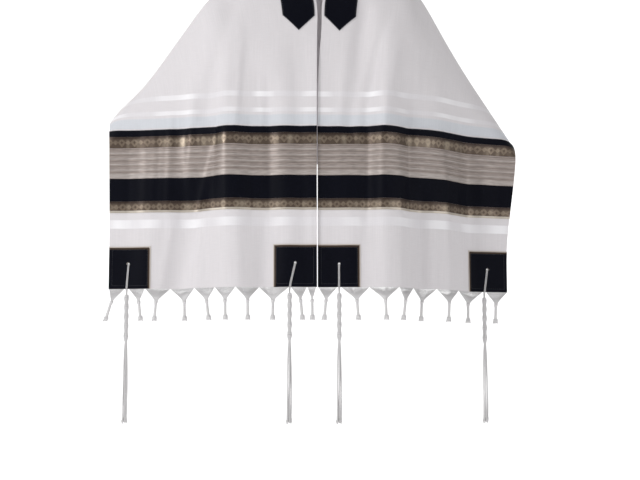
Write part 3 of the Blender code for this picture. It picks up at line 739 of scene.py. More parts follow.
whole_way = side_stations("left") + side_stations("right")[-2::-1]
cloth = make_sheet("tallit_cloth", CLOTH_COLUMNS, whole_way, 0.0, CLOTH_WALL, white_wool)
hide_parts("cloth_front_left", "cloth_front_right", "cloth_back")
print("cloth:", len(cloth.data.polygons), "faces before its wall")

# %% [markdown]
# ## The striped ribbons
# Five ribbons are sewn side by side across each end: a fine black one, a bronze brocade, a wide
# beige one with pale and dark lines, a wide black satin and a second brocade. Ribbon is stiffer
# and shinier than the cloth, so it shows the small creases as bright and dark patches.

# %% Where each ribbon lies
Ribbon = namedtuple("Ribbon", "name low high slot rows")
RIBBONS = [
    Ribbon("lower_braid", 0.1735, 0.2000, "bronze_braid", 7),
    Ribbon("black", 0.2000, 0.2520, "black_satin", 12),
    Ribbon("beige", 0.2520, 0.3230, "beige_ribbon", 17),
    Ribbon("upper_braid", 0.3230, 0.3495, "bronze_braid", 6),
    Ribbon("fine_black", 0.3495, 0.3645, "black_satin", 4),
]
TRIM_LIFT = CLOTH_WALL / 2 + TRIM_GAP + TRIM_WALL / 2

# %% The black satin
DEEP_BLACK = (0.0010, 0.0012, 0.003)
FADED_BLACK = (0.004, 0.0045, 0.009)
BLACK_THREADS = (60.0, 700.0)
BLACK_RIB = 0.0024


def make_black_satin():
    """Dull black with fine ribs."""
    material, shader = new_finish("black_satin_weave", 0.5, specular=0.05)
    _, up, flat = cut_place(material)
    faded = thread_noise(flat, BLACK_THREADS)
    join(mix_colour(faded, DEEP_BLACK, FADED_BLACK), shader, "Base Color")
    add_bump(shader, maths("MULTIPLY_ADD", faded, 0.8, wave(up, BLACK_RIB)), 0.00015, 0.5)
    return material


black_satin = make_black_satin()

# %% The beige ribbon with its pale and dark lines
BEIGE = (0.275, 0.232, 0.212)
PALE_LINE = (0.355, 0.315, 0.295)
SHADE_LINE = (0.215, 0.175, 0.155)
LINE_PITCH = 0.0130
LINES_FROM = 0.2640
SEAM_LINE_UP = 0.2530
BEIGE_LINES = [(0.0020, 0.0048, SHADE_LINE), (0.0070, 0.0104, PALE_LINE)]
BEIGE_THREADS = (45.0, 420.0)
BEIGE_RIB = 0.0026


def make_beige():
    """The same few lines again and again, over a pale foot with a dark seam."""
    material, shader = new_finish("beige_satin", 0.46, metallic=0.28)
    _, up, flat = cut_place(material)
    repeat = maths("DIVIDE", maths("SUBTRACT", up, LINES_FROM), LINE_PITCH)
    repeat = maths("MULTIPLY", maths("FRACT", repeat), LINE_PITCH)
    lines = stripe_ramp(repeat, BEIGE, BEIGE_LINES, LINE_PITCH)
    lines = mix_colour(maths("LESS_THAN", up, LINES_FROM), lines, PALE_LINE)
    lines = mix_colour(maths("LESS_THAN", up, SEAM_LINE_UP), lines, SHADE_LINE)
    tone = remap(thread_noise(flat, BEIGE_THREADS), 0.3, 0.7, 0.74, 1.16)
    join(mix_colour(1.0, lines, tone, "MULTIPLY"), shader, "Base Color")
    add_bump(shader, wave(up, BEIGE_RIB), 0.00015, 0.5)
    return material


beige_satin = make_beige()

# %% [markdown]
# The brocade is dark bronze with a pale gold lozenge every 29 mm. A lozenge is the place where
# the distance along plus the distance across is small. Gold thread is metal, so it is partly
# metallic and lies a little higher than its ground. The gold comes and goes in patches, which are
# painted glints: lighter gold put into the colour where the light would catch it.

# %% The bronze brocade
LOZENGE_PITCH = 0.029
DARK_BRONZE = (0.040, 0.026, 0.020)
BRONZE = (0.092, 0.066, 0.049)
GOLD = (0.225, 0.176, 0.130)
PAINTED_GOLD_GLINT = (0.36, 0.30, 0.23)
CREAM = (0.50, 0.45, 0.39)
CREAM_EDGE = 0.0050
TOP_SHADE = 0.0090
PETAL_REACH = 0.62
CORE_REACH = 0.22
SMALL_FROM = 0.55
BRAID_THREADS = (420.0, 160.0)
BRAID_GLINT_PATCHES = (38.0, 4.0)


def make_braid(name, low, high):
    """Lozenges with smaller ones between them, on a ground that darkens at its top."""
    material, shader = new_finish(name, 0.38, metallic=0.55)
    across, up, flat = cut_place(material)
    along = maths("FRACT", maths("DIVIDE", across, LOZENGE_PITCH))
    along = maths("MULTIPLY", maths("ABSOLUTE", maths("SUBTRACT", along, 0.5)), 2.0)
    over = maths("ABSOLUTE", maths("SUBTRACT", up, (low + high) / 2))
    over = maths("DIVIDE", over, (high - low) / 2)
    reach = maths("ADD", along, maths("MULTIPLY", over, 0.75))
    core = maths("LESS_THAN", reach, CORE_REACH)
    ring = maths("SUBTRACT", maths("LESS_THAN", reach, PETAL_REACH), core)
    small = maths("GREATER_THAN", maths("SUBTRACT", along, over), SMALL_FROM)
    motif = maths("MAXIMUM", ring, small)
    threads = thread_noise(flat, BRAID_THREADS)
    glint_spots = thread_noise(flat, BRAID_GLINT_PATCHES)
    # Painted glints: the gold motif shows only in patches, and pale gold is painted over the
    # brightest of them.
    shown = maths("MULTIPLY", maths("MULTIPLY", motif, threads), maths("MULTIPLY", glint_spots, 2.6))
    colour = mix_colour(shown, BRONZE, GOLD)
    colour = mix_colour(remap(glint_spots, 0.50, 0.78, to_high=0.75), colour, PAINTED_GOLD_GLINT)
    shaded = remap(up, high - TOP_SHADE, high - TOP_SHADE / 3)
    colour = mix_colour(shaded, colour, DARK_BRONZE)
    if name == "lower_braid":
        colour = mix_colour(maths("LESS_THAN", up, low + CREAM_EDGE), colour, CREAM)
    join(colour, shader, "Base Color")
    add_bump(shader, maths("ADD", motif, maths("MULTIPLY", threads, 0.6)), 0.0003, 0.6)
    return material


braid_finish = {r.name: make_braid(r.name, r.low, r.high) for r in RIBBONS if "braid" in r.name}
ribbon_finish = {"black": black_satin, "fine_black": black_satin, "beige": beige_satin}
ribbon_finish.update(braid_finish)

# %% Sew the ribbons on
def level_stations(side, columns, ups):
    """Rows that each run level across the cloth."""
    return [Station(side, np.full(len(columns), up)) for up in ups]


def make_trim(name, columns, stations, finish):
    """A sheet that lies on the cloth."""
    return make_sheet(name, columns, stations, TRIM_LIFT, TRIM_WALL, finish)


RIBBON_PART = 0.00015
trims = []
for side in SIDES:
    for ribbon in RIBBONS:
        ups = np.linspace(ribbon.low + RIBBON_PART, ribbon.high - RIBBON_PART, ribbon.rows)
        rows = level_stations(side, CLOTH_COLUMNS, ups)
        finish = ribbon_finish[ribbon.name]
        piece = make_trim(f"{side}_{ribbon.name}", CLOTH_COLUMNS, rows, finish)
        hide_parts(f"ribbon_{side}_{ribbon.name}")
        trims.append(piece)
print(len(trims), "ribbons")

# %% [markdown]
# ## The neck band and the corner patches
# The neck band is a straight black band on the neck edge. Each of its ends is cut to a point, and
# a grey edging runs round it. The four patches strengthen the corners. They have a bronze border
# and a pale line along their top and along the side that faces the middle of the cloth. The
# distance to the nearest edge is kept on every point of the mesh, and the finish reads it.

# %% Keep the distance to the edge
def keep_edge(mesh, distance):
    """Writes a number for every point, which the finish reads as edge."""
    kept = mesh.attributes.new("edge", "FLOAT", "POINT")
    kept.data.foreach_set("value", np.asarray(distance, float))


def point_values(mesh):
    """The flat place of every point, read back from the UV map."""
    values = np.empty((len(mesh.vertices), 2))
    corner = read_all(mesh.loops, "vertex_index", kind=int)
    values[corner] = read_all(mesh.uv_layers["cut"].data, "uv", 2)
    return values


def make_edged(name, border, line, line_width, border_width):
    """Black satin with a line at its edge and a border inside it."""
    material = black_satin.copy()
    material.name = name
    tree = material.node_tree
    shader = tree.nodes["Principled BSDF"]
    ground = shader.inputs["Base Color"].links[0].from_socket
    edge = add_node(tree, "ShaderNodeAttribute", attribute_name="edge").outputs["Fac"]
    colour = mix_colour(maths("LESS_THAN", edge, border_width), ground, border)
    colour = mix_colour(maths("LESS_THAN", edge, line_width), colour, line)
    join(colour, shader, "Base Color")
    return material


DARK_GREY = (0.02, 0.02, 0.024)
GREY = (0.10, 0.10, 0.11)
PATCH_BORDER = (0.050, 0.036, 0.028)
PATCH_LINE = (0.46, 0.41, 0.37)
neck_finish = make_edged("neck_band_satin", DARK_GREY, GREY, 0.0009, 0.0016)
patch_finish = make_edged("patch_satin", PATCH_BORDER, PATCH_LINE, 0.0022, 0.0062)

# %% The neck band
NECK_BAND_INNER = 0.006
NECK_BAND_OUTER = 0.078
NECK_BAND_MIDDLE = (NECK_BAND_INNER + NECK_BAND_OUTER) / 2
NECK_BAND_HALF_WIDTH = (NECK_BAND_OUTER - NECK_BAND_INNER) / 2
NECK_BAND_TIP_UP = 0.586
NECK_BAND_POINT = 0.036
BAND_COLUMNS = np.linspace(NECK_BAND_INNER, NECK_BAND_OUTER, 25)
BAND_ROWS = 110


def band_stations(side):
    """Rows from the point to the middle of the back. The first ones fan out from the point."""
    lean = np.abs(BAND_COLUMNS - NECK_BAND_MIDDLE) / NECK_BAND_HALF_WIDTH
    start = NECK_BAND_TIP_UP + NECK_BAND_POINT * lean
    end = between(NETS[side].end, BAND_COLUMNS)
    shares = np.linspace(0.0, 1.0, BAND_ROWS + 1)
    return [Station(side, start + (end - start) * share) for share in shares]


band_way = band_stations("left") + band_stations("right")[-2::-1]
neck_band = make_trim("neck_band_cloth", BAND_COLUMNS, band_way, neck_finish)
flat = point_values(neck_band.data)
to_side = NECK_BAND_HALF_WIDTH - np.abs(flat[:, 0] - NECK_BAND_MIDDLE)
slope = NECK_BAND_POINT / NECK_BAND_HALF_WIDTH
lean = np.abs(flat[:, 0] - NECK_BAND_MIDDLE) * slope
to_point = (flat[:, 1] - NECK_BAND_TIP_UP - lean) / math.hypot(1.0, slope)
keep_edge(neck_band.data, np.minimum(to_side, to_point))
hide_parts("neck_band")
trims.append(neck_band)

# %% The corner patches
EYELET_RADIUS = 0.0025
Tassel = namedtuple("Tassel", "side place eyelet_across eyelet_up hang_across")
TASSELS = [
    Tassel("left", "outer", 0.463, 0.056, 0.467),
    Tassel("left", "inner", 0.048, 0.054, 0.060),
    Tassel("right", "inner", 0.048, 0.052, 0.048),
    Tassel("right", "outer", 0.459, 0.052, 0.452),
]
PATCH_CELLS = 22
EYELET_SIDES = 24
EYELET_BAR = 0.016


def eyelet_bars(tassels):
    """Round bars that stand through the cloth at the eyelets."""
    bm = bmesh.new()
    for tassel in tassels:
        eyelet = (tassel.side, tassel.eyelet_across, tassel.eyelet_up)
        centre = Vector(place(*eyelet))
        outward = Vector(place(*eyelet, 1.0)) - centre
        turn = outward.to_track_quat("Z", "Y").to_matrix().to_4x4()
        bmesh.ops.create_cone(
            bm,
            cap_ends=True,
            segments=EYELET_SIDES,
            radius1=EYELET_RADIUS,
            radius2=EYELET_RADIUS,
            depth=EYELET_BAR,
            matrix=Matrix.Translation(centre) @ turn,
        )
    return add_object("eyelet_bars", mesh_from(bm, "eyelet_bars"))


def cut_eyelets(piece, tassels):
    """Cuts the round eyelets through a piece and bakes it."""
    bars = eyelet_bars(tassels)
    cut = piece.modifiers.new("eyelets", "BOOLEAN")
    cut.operation = "DIFFERENCE"
    cut.solver = "EXACT"
    cut.object = bars
    bake_modifiers(piece)
    bpy.data.objects.remove(bars)


def patch_start(tassel):
    """The distance across at which a patch starts."""
    return 0.0 if tassel.place == "inner" else CLOTH_WIDTH - PATCH


def make_patch(tassel):
    """One black square on its corner, open at the eyelet."""
    low = patch_start(tassel)
    columns = np.linspace(low, low + PATCH, PATCH_CELLS + 1)
    rows = level_stations(tassel.side, columns, np.linspace(0.0, PATCH, PATCH_CELLS + 1))
    name = f"{tassel.side}_{tassel.place}_patch"
    patch = make_trim(name, columns, rows, patch_finish)
    cut_eyelets(patch, [tassel])
    spots = point_values(patch.data)
    facing = spots[:, 0] - low if tassel.place == "outer" else low + PATCH - spots[:, 0]
    keep_edge(patch.data, np.minimum(facing, PATCH - spots[:, 1]))
    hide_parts(f"patch_{tassel.side}_{tassel.place}")
    return patch


patches = [make_patch(tassel) for tassel in TASSELS]
cut_eyelets(cloth, TASSELS)
print(len(patches), "patches and their eyelets")

# %% [markdown]
# ## Cords and threads
# Fringe, tassels and stitches are all cords. A curve with a bevel gives a cord along any path. For
# a twisted cord the bevel has two lobes and the curve tilts as it goes, which is how two plies lie
# round each other. The curve is then made a mesh.

# %% Make cords from paths
WAIST = 0.62


def lobed_profile(radius, corners):
    """The section of a cord of two plies: a ring with a waist."""
    curve = bpy.data.curves.new("profile", "CURVE")
    curve.dimensions = "2D"
    spline = curve.splines.new("POLY")
    spline.points.add(corners - 1)
    for number, point in enumerate(spline.points):
        angle = math.tau * number / corners
        reach = WAIST + (1 - WAIST) * abs(math.cos(angle))
        point.co = (radius * reach * math.cos(angle), radius * reach * math.sin(angle), 0.0, 1.0)
    spline.use_cyclic_u = True
    return bpy.data.objects.new("profile", curve)


def cord_mesh(name, paths, radius, pitch=None, corners=8):
    """A mesh of cords: one for each path, twisted once in every pitch where that is given."""
    curve = bpy.data.curves.new(name, "CURVE")
    curve.dimensions = "3D"
    curve.use_fill_caps = True
    profile = None
    if pitch is None:
        curve.bevel_depth = radius
        curve.bevel_resolution = 0 if corners <= 4 else 1
    else:
        profile = lobed_profile(radius, corners)
        curve.bevel_mode = "OBJECT"
        curve.bevel_object = profile
    for path in paths:
        spline = curve.splines.new("POLY")
        spline.points.add(len(path) - 1)
        flat = np.column_stack([path, np.ones(len(path))])
        spline.points.foreach_set("co", flat.ravel())
        if pitch is not None:
            spline.points.foreach_set("tilt", lengths_along(path) / pitch * math.tau)
    holder = add_object(name, curve)
    mesh = evaluated_mesh(holder)
    bpy.data.objects.remove(holder)
    bpy.data.curves.remove(curve)
    if profile is not None:
        bpy.data.objects.remove(profile)
    mesh.name = name
    mesh.shade_smooth()
    return mesh


def refine(path, step):
    """The same path with a point every step, on straight lines between its points."""
    path = np.asarray(path, float)
    run = lengths_along(path)
    at = np.linspace(0.0, run[-1], max(int(run[-1] / step), 2) + 1)
    return np.column_stack([np.interp(at, run, path[:, axis]) for axis in range(3)])


def soften(path):
    """Rounds the corners of a path and keeps its ends."""
    for _ in range(3):
        near = (path[:-2] + path[2:]) / 2
        path = np.concatenate([path[:1], (path[1:-1] + near) / 2, path[-1:]])
    return path


# %% The finish of cords
FIBRE_SCALE = 900.0


def make_cord_finish(name, colour, painted_shade, roughness):
    """Fluffy thread of one colour, with painted shade where the fibres lie low."""
    material, shader = new_finish(name, roughness, sheen=0.2)
    spot = add_node(material.node_tree, "ShaderNodeTexCoord").outputs["Object"]
    inputs = {"Vector": spot, "Scale": FIBRE_SCALE, "Detail": 3.0}
    fibres = extend("ShaderNodeTexNoise", inputs)
    # Painted shade: the colour is darker where the fibres are low, between them.
    join(mix_colour(fibres, painted_shade, colour), shader, "Base Color")
    add_bump(shader, fibres, 0.0002, 0.6)
    return material


wool_cord = make_cord_finish("wool_cord", (0.70, 0.69, 0.69), (0.44, 0.43, 0.44), 0.8)
black_thread = make_cord_finish("black_thread", (0.02, 0.02, 0.03), (0.006, 0.006, 0.01), 0.5)
bronze_thread = make_cord_finish("bronze_thread", (0.42, 0.34, 0.26), (0.22, 0.17, 0.13), 0.5)

# %% [markdown]
# ## The fringe
# The warp threads of each end are left long and gathered into locks. In a lock the threads fan in
# from the hem to one place and are twisted into a cord that ends in a knot and a small tuft. Each
# lock leans its own way, which keeps the row from looking stamped.

# %% Where the locks hang
Lock = namedtuple("Lock", "root half_fan end")
LOCKS = {
    "left": [
        Lock(0.0110, 0.0095, 0.0100),
        Lock(0.0395, 0.0175, 0.0310),
        Lock(0.0965, 0.0340, 0.0980),
        Lock(0.1595, 0.0275, 0.1580),
        Lock(0.2145, 0.0255, 0.2120),
        Lock(0.2690, 0.0270, 0.2560),
        Lock(0.3315, 0.0335, 0.3280),
        Lock(0.3950, 0.0280, 0.4020),
        Lock(0.4430, 0.0180, 0.4330),
        Lock(0.4900, 0.0170, 0.5150),
    ],
    "right": [
        Lock(0.0220, 0.0205, 0.0140),
        Lock(0.0850, 0.0315, 0.0915),
        Lock(0.1525, 0.0340, 0.1570),
        Lock(0.2130, 0.0245, 0.1980),
        Lock(0.2695, 0.0295, 0.2640),
        Lock(0.3370, 0.0355, 0.3310),
        Lock(0.4110, 0.0360, 0.4090),
        Lock(0.4820, 0.0250, 0.4780),
    ],
}
FAN_END = 0.030
FAN_LEAN = 0.45
CORD_END = 0.074
KNOT_DROP = 0.067
THREAD_SPACING = 0.0013
THREAD_RADIUS = 0.00055
FRINGE_CORD_RADIUS = 0.0038
FRINGE_TWIST = 0.009
FRINGE_STEP = 0.0011
KNOT_RADIUS = 0.0042
KNOT_HEIGHT = 0.0056
MEET_KNOT_RADIUS = 0.0028
TUFT_THREADS = 12
TUFT_FLARE = 0.0064
FAN_LAYER = 0.0005
FAN_START_UP = 0.003
FAN_HEM_UP = -0.001


def hem_point(side, across):
    """A point at the hem, also past the edge of the cloth."""
    inside = min(max(across, 0.0), CLOTH_WIDTH)
    point = place(side, inside, 0.0)
    if across != inside:
        before = place(side, inside - 2 * NET_STEP, 0.0)
        point = point + (point - before) / np.linalg.norm(point - before) * (across - inside)
    return point


def fan_paths(side, lock):
    """The threads of one fan, from inside the hem to where they meet."""
    meet = hem_point(side, lock.root + (lock.end - lock.root) * FAN_LEAN)
    meet = meet + np.array([0.0, 0.0, -FAN_END])
    count = int(2 * lock.half_fan / THREAD_SPACING)
    outward = place(side, lock.root, 0.0, 1.0) - place(side, lock.root, 0.0)
    paths = []
    for number in range(count):
        across = lock.root + ((number + 0.5) / count * 2 - 1) * lock.half_fan
        layer = FAN_LAYER if number % 2 else -FAN_LAYER
        hem = place(side, across, FAN_HEM_UP)
        path = [place(side, across, FAN_START_UP), hem]
        for share in (0.25, 0.5, 0.75, 1.0):
            point = hem + (meet - hem) * share
            width_share = (1 - share) ** 1.25 + 0.04
            point[:2] = meet[:2] + (hem[:2] - meet[:2]) * width_share
            path.append(point + outward * layer * (1 + share))
        paths.append(np.array(path))
    return paths, meet


# %% [markdown]
# A knot here is two and a half turns of cord round the lock, each turn tilted a little. It looks
# tied because the turns cross.

# %% A knot as turns of cord
def knot_path(centre, radius, turns, height, tilt=0.35, points=14):
    """Turns round a vertical cord, tilted to and fro."""
    count = int(turns * points)
    angle = np.linspace(0.0, turns * math.tau, count + 1)
    x = radius * np.cos(angle)
    y = radius * np.sin(angle)
    z = height * (0.5 - angle / angle[-1]) + tilt * radius * np.sin(angle * 0.5 + 0.6)
    return np.column_stack([x, y, z]) + np.asarray(centre)


def make_fringe(side):
    """All the locks of one end: fans, twisted cords, knots and tufts."""
    threads, cords, knots, tufts = [], [], [], []
    for lock in LOCKS[side]:
        fan, meet = fan_paths(side, lock)
        threads += fan
        end = hem_point(side, lock.end)
        end[2] = HEM_Z - CORD_END
        knot = meet + (end - meet) * (KNOT_DROP - FAN_END) / (CORD_END - FAN_END)
        cords.append(refine([meet + np.array([0.0, 0.0, 0.002]), knot], FRINGE_STEP))
        knots.append(knot_path(knot, KNOT_RADIUS, 2.5, KNOT_HEIGHT))
        knots.append(knot_path(meet, MEET_KNOT_RADIUS, 1.5, 0.002))
        for number in range(TUFT_THREADS):
            angle = number * math.tau / TUFT_THREADS
            flare = np.array([math.cos(angle), math.sin(angle), 0.0])
            tip = end + flare * TUFT_FLARE + np.array([0.0, 0.0, 0.0012 * (number % 3)])
            tufts.append(np.array([knot + flare * 0.0009, (knot + tip) / 2 + flare * 0.0004, tip]))
    meshes = [
        cord_mesh("fan", threads, THREAD_RADIUS, corners=4),
        cord_mesh("cord", cords, FRINGE_CORD_RADIUS, pitch=FRINGE_TWIST),
        cord_mesh("knot", knots, 0.0020),
        cord_mesh("tuft", tufts, 0.0008, corners=4),
    ]
    piece = join_meshes(f"{side}_fringe", meshes, wool_cord)
    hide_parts(f"fringe_{side}")
    print(piece.name, len(threads), "threads,", len(piece.data.polygons), "faces")
    return piece


def join_meshes(name, meshes, material):
    """One piece from several meshes, each closed and facing outwards."""
    bm = bmesh.new()
    for mesh in meshes:
        bm.from_mesh(mesh)
        bpy.data.meshes.remove(mesh)
    bmesh.ops.recalc_face_normals(bm, faces=bm.faces)
    joined = mesh_from(bm, name)
    joined.shade_smooth()
    return add_piece(name, joined, material)


fringes = [make_fringe(side) for side in SIDES]

# %% [markdown]
# ## The corner tassels
# At each corner four long strings pass through the eyelet, so that eight hang down. Four lie in
# front of the patch and four behind. Below the hem one string is wound round the others between
# five double knots, and then the eight strands hang free, each with a small knot at its end.

# %% The parts of one tassel
STRING_RADIUS = 0.00058
STRING_SPACING = 0.0011
STRAND_RADIUS = 0.00125
STRAND_TWIST = 0.0042
HEAD_TOP_DROP = 0.013
KNOT_DROPS = [0.020, 0.040, 0.061, 0.083, 0.106]
HEAD_END_DROP = 0.118
STRAND_END_DROP = 0.302
HEAD_RADIUS = 0.0038
WINDING_RADIUS = 0.00085
KNOT_RISE = np.array([0.0, 0.0, 0.006])
BUNDLE = [(-0.0012, -0.0009), (0.0, -0.0014), (0.0012, -0.0009), (0.0015, 0.0004)]
BUNDLE += [(0.0008, 0.0013), (-0.0008, 0.0013), (-0.0015, 0.0004), (0.0, 0.0)]
SPREAD = 3.3
SWAY = 0.0009
LOOP_STEP = 0.0007
LOOP_CLEAR = 0.0002
LOOP_STAGGER = 0.0003
LOOP_CLEAR_BEHIND = 0.0004
STRAND_STEP = 0.0008
DOUBLE_KNOT_HALF = 0.0021


def loop_path(tassel, number, centre):
    """One string: up the front of the patch, through the eyelet and down behind."""
    shift = (number - 1.5) * STRING_SPACING
    sideways = shift * SIDES[tassel.side]
    hang, hole, hole_up = tassel.hang_across, tassel.eyelet_across, tassel.eyelet_up
    front = TRIM_LIFT + TRIM_WALL / 2 + STRING_RADIUS + LOOP_CLEAR + LOOP_STAGGER * (number % 2)
    back = -(CLOTH_WALL / 2 + STRING_RADIUS + LOOP_CLEAR_BEHIND)
    spots = [(up, front) for up in (-0.004, 0.012, 0.030, hole_up - 0.004)]
    spots += [(up, back) for up in (hole_up - 0.006, 0.020, -0.004)]
    path = []
    for up, lift in spots:
        across = hang + (hole - hang) * max(up, 0.0) / hole_up + sideways
        path.append(place(tassel.side, across, up, lift))
    turn = hole + sideways * 0.7
    through = [(0.0006, front * 0.7), (0.0008, 0.0), (-0.0006, back * 0.9)]
    path[4:4] = [place(tassel.side, turn, hole_up + rise, lift) for rise, lift in through]
    start, end = (
        centre + np.array([shift * 0.5, way * 0.0008, -HEAD_TOP_DROP - 0.004]) for way in (-1, 1)
    )
    path = [start, *path, end]
    return soften(refine(path, LOOP_STEP))


def winding_path(centre, top, foot, radius):
    """Close turns round the head from one drop to another."""
    turns = (foot - top) / (2.05 * WINDING_RADIUS)
    angle = np.linspace(0.0, turns * math.tau, int(turns * 10) + 1)
    z = -top - (foot - top) * angle / angle[-1]
    return np.column_stack([radius * np.cos(angle), radius * np.sin(angle), z]) + centre


def strand_path(centre, number):
    """One free strand, which spreads from its neighbours and sways a little."""
    x, y = BUNDLE[number]
    end = STRAND_END_DROP - 0.0022 * (number % 3)
    drops = np.linspace(HEAD_END_DROP - 0.004, end, 9)
    share = np.linspace(0.0, 1.0, 9)
    spread = 1 + (SPREAD - 1) * np.sqrt(np.sin(share * math.pi / 2))
    sway = SWAY * np.sin(share * math.pi * 2 + number * 1.7) * share
    return np.column_stack([x * spread + sway, y * spread + sway * 0.5, -drops]) + centre


# %% Tie the four tassels
def make_tassel(tassel):
    """The loops, head and strands of one tassel."""
    hang = place(tassel.side, tassel.hang_across, 0.0)
    centre = np.array([hang[0], hang[1], HEM_Z])
    loops = [loop_path(tassel, number, centre) for number in range(4)]
    strands = [strand_path(centre, number) for number in range(8)]
    core = [centre + np.array([0.0, 0.0, -drop]) for drop in (HEAD_TOP_DROP, HEAD_END_DROP)]
    stops = [HEAD_TOP_DROP + 0.001] + KNOT_DROPS + [HEAD_END_DROP]
    windings = [
        winding_path(centre, top + 0.002, foot - 0.002, HEAD_RADIUS)
        for top, foot in zip(stops[1:-1], stops[2:])
    ]
    knots = []
    for drop in KNOT_DROPS:
        for half in (-DOUBLE_KNOT_HALF, DOUBLE_KNOT_HALF):
            middle = centre + np.array([0.0, 0.0, -drop + half])
            knots.append(knot_path(middle, HEAD_RADIUS + 0.0010, 1.6, 0.0020, 0.5))
    ends = [knot_path(path[-1] + KNOT_RISE, 0.0014, 2.5, 0.0042, 0.3, 10) for path in strands]
    fine = [refine(path, STRAND_STEP) for path in strands]
    meshes = [
        cord_mesh("loops", loops, STRING_RADIUS, pitch=STRAND_TWIST, corners=6),
        cord_mesh("strands", fine, STRAND_RADIUS, pitch=STRAND_TWIST, corners=6),
        cord_mesh("core", [np.array(core)], HEAD_RADIUS - 0.0002),
        cord_mesh("windings", windings, WINDING_RADIUS),
        cord_mesh("knots", knots, 0.0014),
        cord_mesh("ends", ends, 0.0010, corners=4),
    ]
    name = f"{tassel.side}_{tassel.place}_tassel"
    piece = join_meshes(name, meshes, wool_cord)
    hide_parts(f"tzitzit_{tassel.side}_{tassel.place}")
    print(name, len(piece.data.polygons), "faces")
    return piece


tassels = [make_tassel(tassel) for tassel in TASSELS]

# %% [markdown]
# ## Sewing
# The patches, the ribbons and the neck band are held by small stitches, and a ring of thread
# strengthens each eyelet. A stitch is a short piece of thread that stands just off the cloth. Rows
# of stitches follow the same flat measures as the pieces that they hold.

# %% Rows of stitches
STITCH = 0.0030
STITCH_GAP = 0.0016
STITCH_RADIUS = 0.00028
STITCH_LIFT = TRIM_LIFT + TRIM_WALL / 2
STITCH_LIFTS = np.array([-0.0001, 0.0002, -0.0001])


def stitch_row(side, start, finish):
    """Short threads along a line on the flat cut, from (across, up) to (across, up)."""
    start, finish = np.array(start), np.array(finish)
    length = np.linalg.norm(finish - start)
    count = int(length / (STITCH + STITCH_GAP))
    way = (finish - start) / length
    paths = []
    for number in range(count):
        begin = start + way * (number + 0.2) * length / count
        across, up = np.transpose([begin, begin + way * STITCH / 2, begin + way * STITCH])
        paths.append(place(side, across, up, STITCH_LIFT + STITCH_LIFTS))
    return paths


PATCH_INSET = 0.0075
EDGE_INSET = 0.0016
ROW_INSET = 0.002
BAND_INSET = 0.0030
RING_RADIUS = 0.0031
RING_THREAD = 0.0006


def patch_rows(tassel):
    """A square of stitches inside the edges of one patch."""
    low = patch_start(tassel)
    near, far = low + PATCH_INSET, low + PATCH - PATCH_INSET
    foot, top = PATCH_INSET, PATCH - PATCH_INSET
    corners = [(near, foot), (far, foot), (far, top), (near, top)]
    rows = []
    for number in range(4):
        rows += stitch_row(tassel.side, corners[number], corners[number - 3])
    return rows


def ribbon_row(side, up):
    """Stitches along a ribbon, across the whole width of the cloth."""
    return stitch_row(side, (ROW_INSET, up), (CLOTH_WIDTH - ROW_INSET, up))


def band_rows(side):
    """Stitches along both edges of one half of the neck band."""
    rows = []
    for across in (NECK_BAND_INNER + BAND_INSET, NECK_BAND_OUTER - BAND_INSET):
        end = float(between(NETS[side].end, across)) - BAND_INSET
        start = NECK_BAND_TIP_UP + NECK_BAND_POINT + BAND_INSET
        rows += stitch_row(side, (across, start), (across, end))
    return rows


def eyelet_ring(tassel):
    """A ring of thread round one eyelet."""
    angle = np.linspace(0.0, math.tau, 33)
    across = tassel.eyelet_across + RING_RADIUS * np.cos(angle)
    up = tassel.eyelet_up + RING_RADIUS * np.sin(angle)
    return place(tassel.side, across, up, STITCH_LIFT + RING_THREAD / 3)


rings = [eyelet_ring(tassel) for tassel in TASSELS]
black_rows = [row for tassel in TASSELS for row in patch_rows(tassel)]
bronze_rows = []
for side in SIDES:
    black_rows += band_rows(side) + ribbon_row(side, RIBBONS[-1].high - EDGE_INSET)
    bronze_rows += ribbon_row(side, RIBBONS[0].low + EDGE_INSET)
black_meshes = [
    cord_mesh("stitches", black_rows, STITCH_RADIUS, corners=4),
    cord_mesh("rings", rings, RING_THREAD, corners=4),
]
bronze_meshes = [cord_mesh("stitches", bronze_rows, STITCH_RADIUS, corners=4)]
sewing = [
    join_meshes("black_sewing", black_meshes, black_thread),
    join_meshes("bronze_sewing", bronze_meshes, bronze_thread),
]
print(len(black_rows) + len(bronze_rows), "stitches and", len(rings), "rings")

# %% [markdown]
# ## The room
# A plain pale floor that curves up behind the shawl gives no horizon, and three large soft lights
# give a studio's even light with the gentle shading that shows the folds.

# %% The pale floor and the backdrop
FLOOR_Z = -1.45
FLOOR_HALF = 8.0
BACKDROP_Y = 4.5
BEND = 1.2
BACKDROP_HEIGHT = 6.0
BEND_STEPS = 12
PAPER_GLOW = 0.55


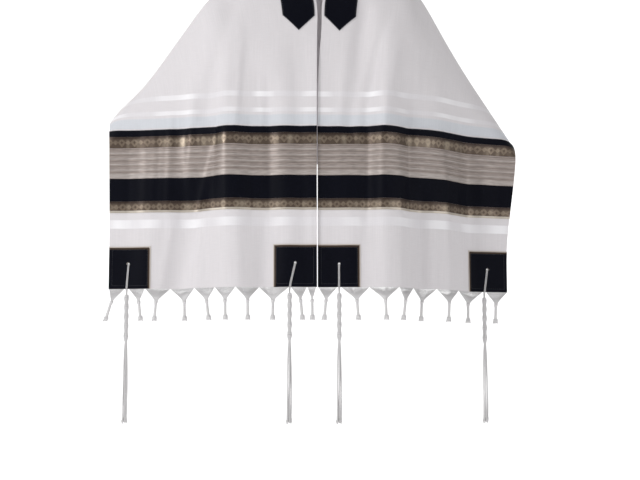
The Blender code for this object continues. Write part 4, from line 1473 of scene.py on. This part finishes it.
def make_floor():
    """A strip of floor that sweeps up into the backdrop."""
    bm = bmesh.new()
    start = [bm.verts.new((x, -FLOOR_HALF, FLOOR_Z)) for x in (-FLOOR_HALF, FLOOR_HALF)]
    edges = [bm.edges.new(start)]
    route = [Vector((0.0, FLOOR_HALF + BACKDROP_Y, 0.0))]
    length = BEND * math.pi / 2 / BEND_STEPS
    for number in range(BEND_STEPS):
        angle = math.pi / 2 * (number + 0.5) / BEND_STEPS
        route.append(Vector((0.0, math.cos(angle) * length, math.sin(angle) * length)))
    route.append(Vector((0.0, 0.0, BACKDROP_HEIGHT)))
    for way in route:
        made = bmesh.ops.extrude_edge_only(bm, edges=edges)["geom"]
        verts, edges = (
            [item for item in made if isinstance(item, kind)]
            for kind in (bmesh.types.BMVert, bmesh.types.BMEdge)
        )
        bmesh.ops.translate(bm, vec=way, verts=verts)
    bmesh.ops.recalc_face_normals(bm, faces=bm.faces)
    mesh = mesh_from(bm, "pale_floor")
    mesh.shade_smooth()
    floor = add_object("pale_floor", mesh)
    material, shader = new_finish("pale_paper", 0.9)
    shader.inputs["Base Color"].default_value = (0.88, 0.88, 0.88, 1.0)
    shader.inputs["Emission Color"].default_value = (1.0, 1.0, 1.0, 1.0)
    shader.inputs["Emission Strength"].default_value = PAPER_GLOW
    mesh.materials.append(material)
    floor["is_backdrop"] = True


make_floor()

# %% The lights
Lamp = namedtuple("Lamp", "name place power size")
LAMPS = [
    Lamp("key", (-3.0, -1.7, 0.8), 70.0, 0.8),
    Lamp("fill", (2.6, -2.2, 0.2), 18.0, 2.0),
    Lamp("top", (0.0, 0.6, 2.6), 26.0, 2.4),
]
LAMP_AIM = Vector((0.0, 0.0, -0.5))
for lamp in LAMPS:
    light = bpy.data.lights.new(lamp.name, "AREA")
    light.energy = lamp.power
    light.size = lamp.size
    holder = add_object(lamp.name, light)
    holder.location = lamp.place
    toward = LAMP_AIM - Vector(lamp.place)
    holder.rotation_euler = toward.to_track_quat("-Z", "Y").to_euler()
world = bpy.data.worlds.new("studio")
world.use_nodes = True
world.node_tree.nodes["Background"].inputs[0].default_value = (1.0, 1.0, 1.0, 1.0)
world.node_tree.nodes["Background"].inputs[1].default_value = 0.42
bpy.context.scene.world = world
bpy.context.scene.view_settings.view_transform = "Standard"
print(len(LAMPS), "lights")

# %% [markdown]
# ## Finish
# The modifiers are baked, and the box of the dressed shawl is kept beside the box of the
# plain one.

# %% Bake and finish
for piece in trims:
    bake_modifiers(piece)
visual_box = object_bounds()
show_box("dressed model", visual_box)
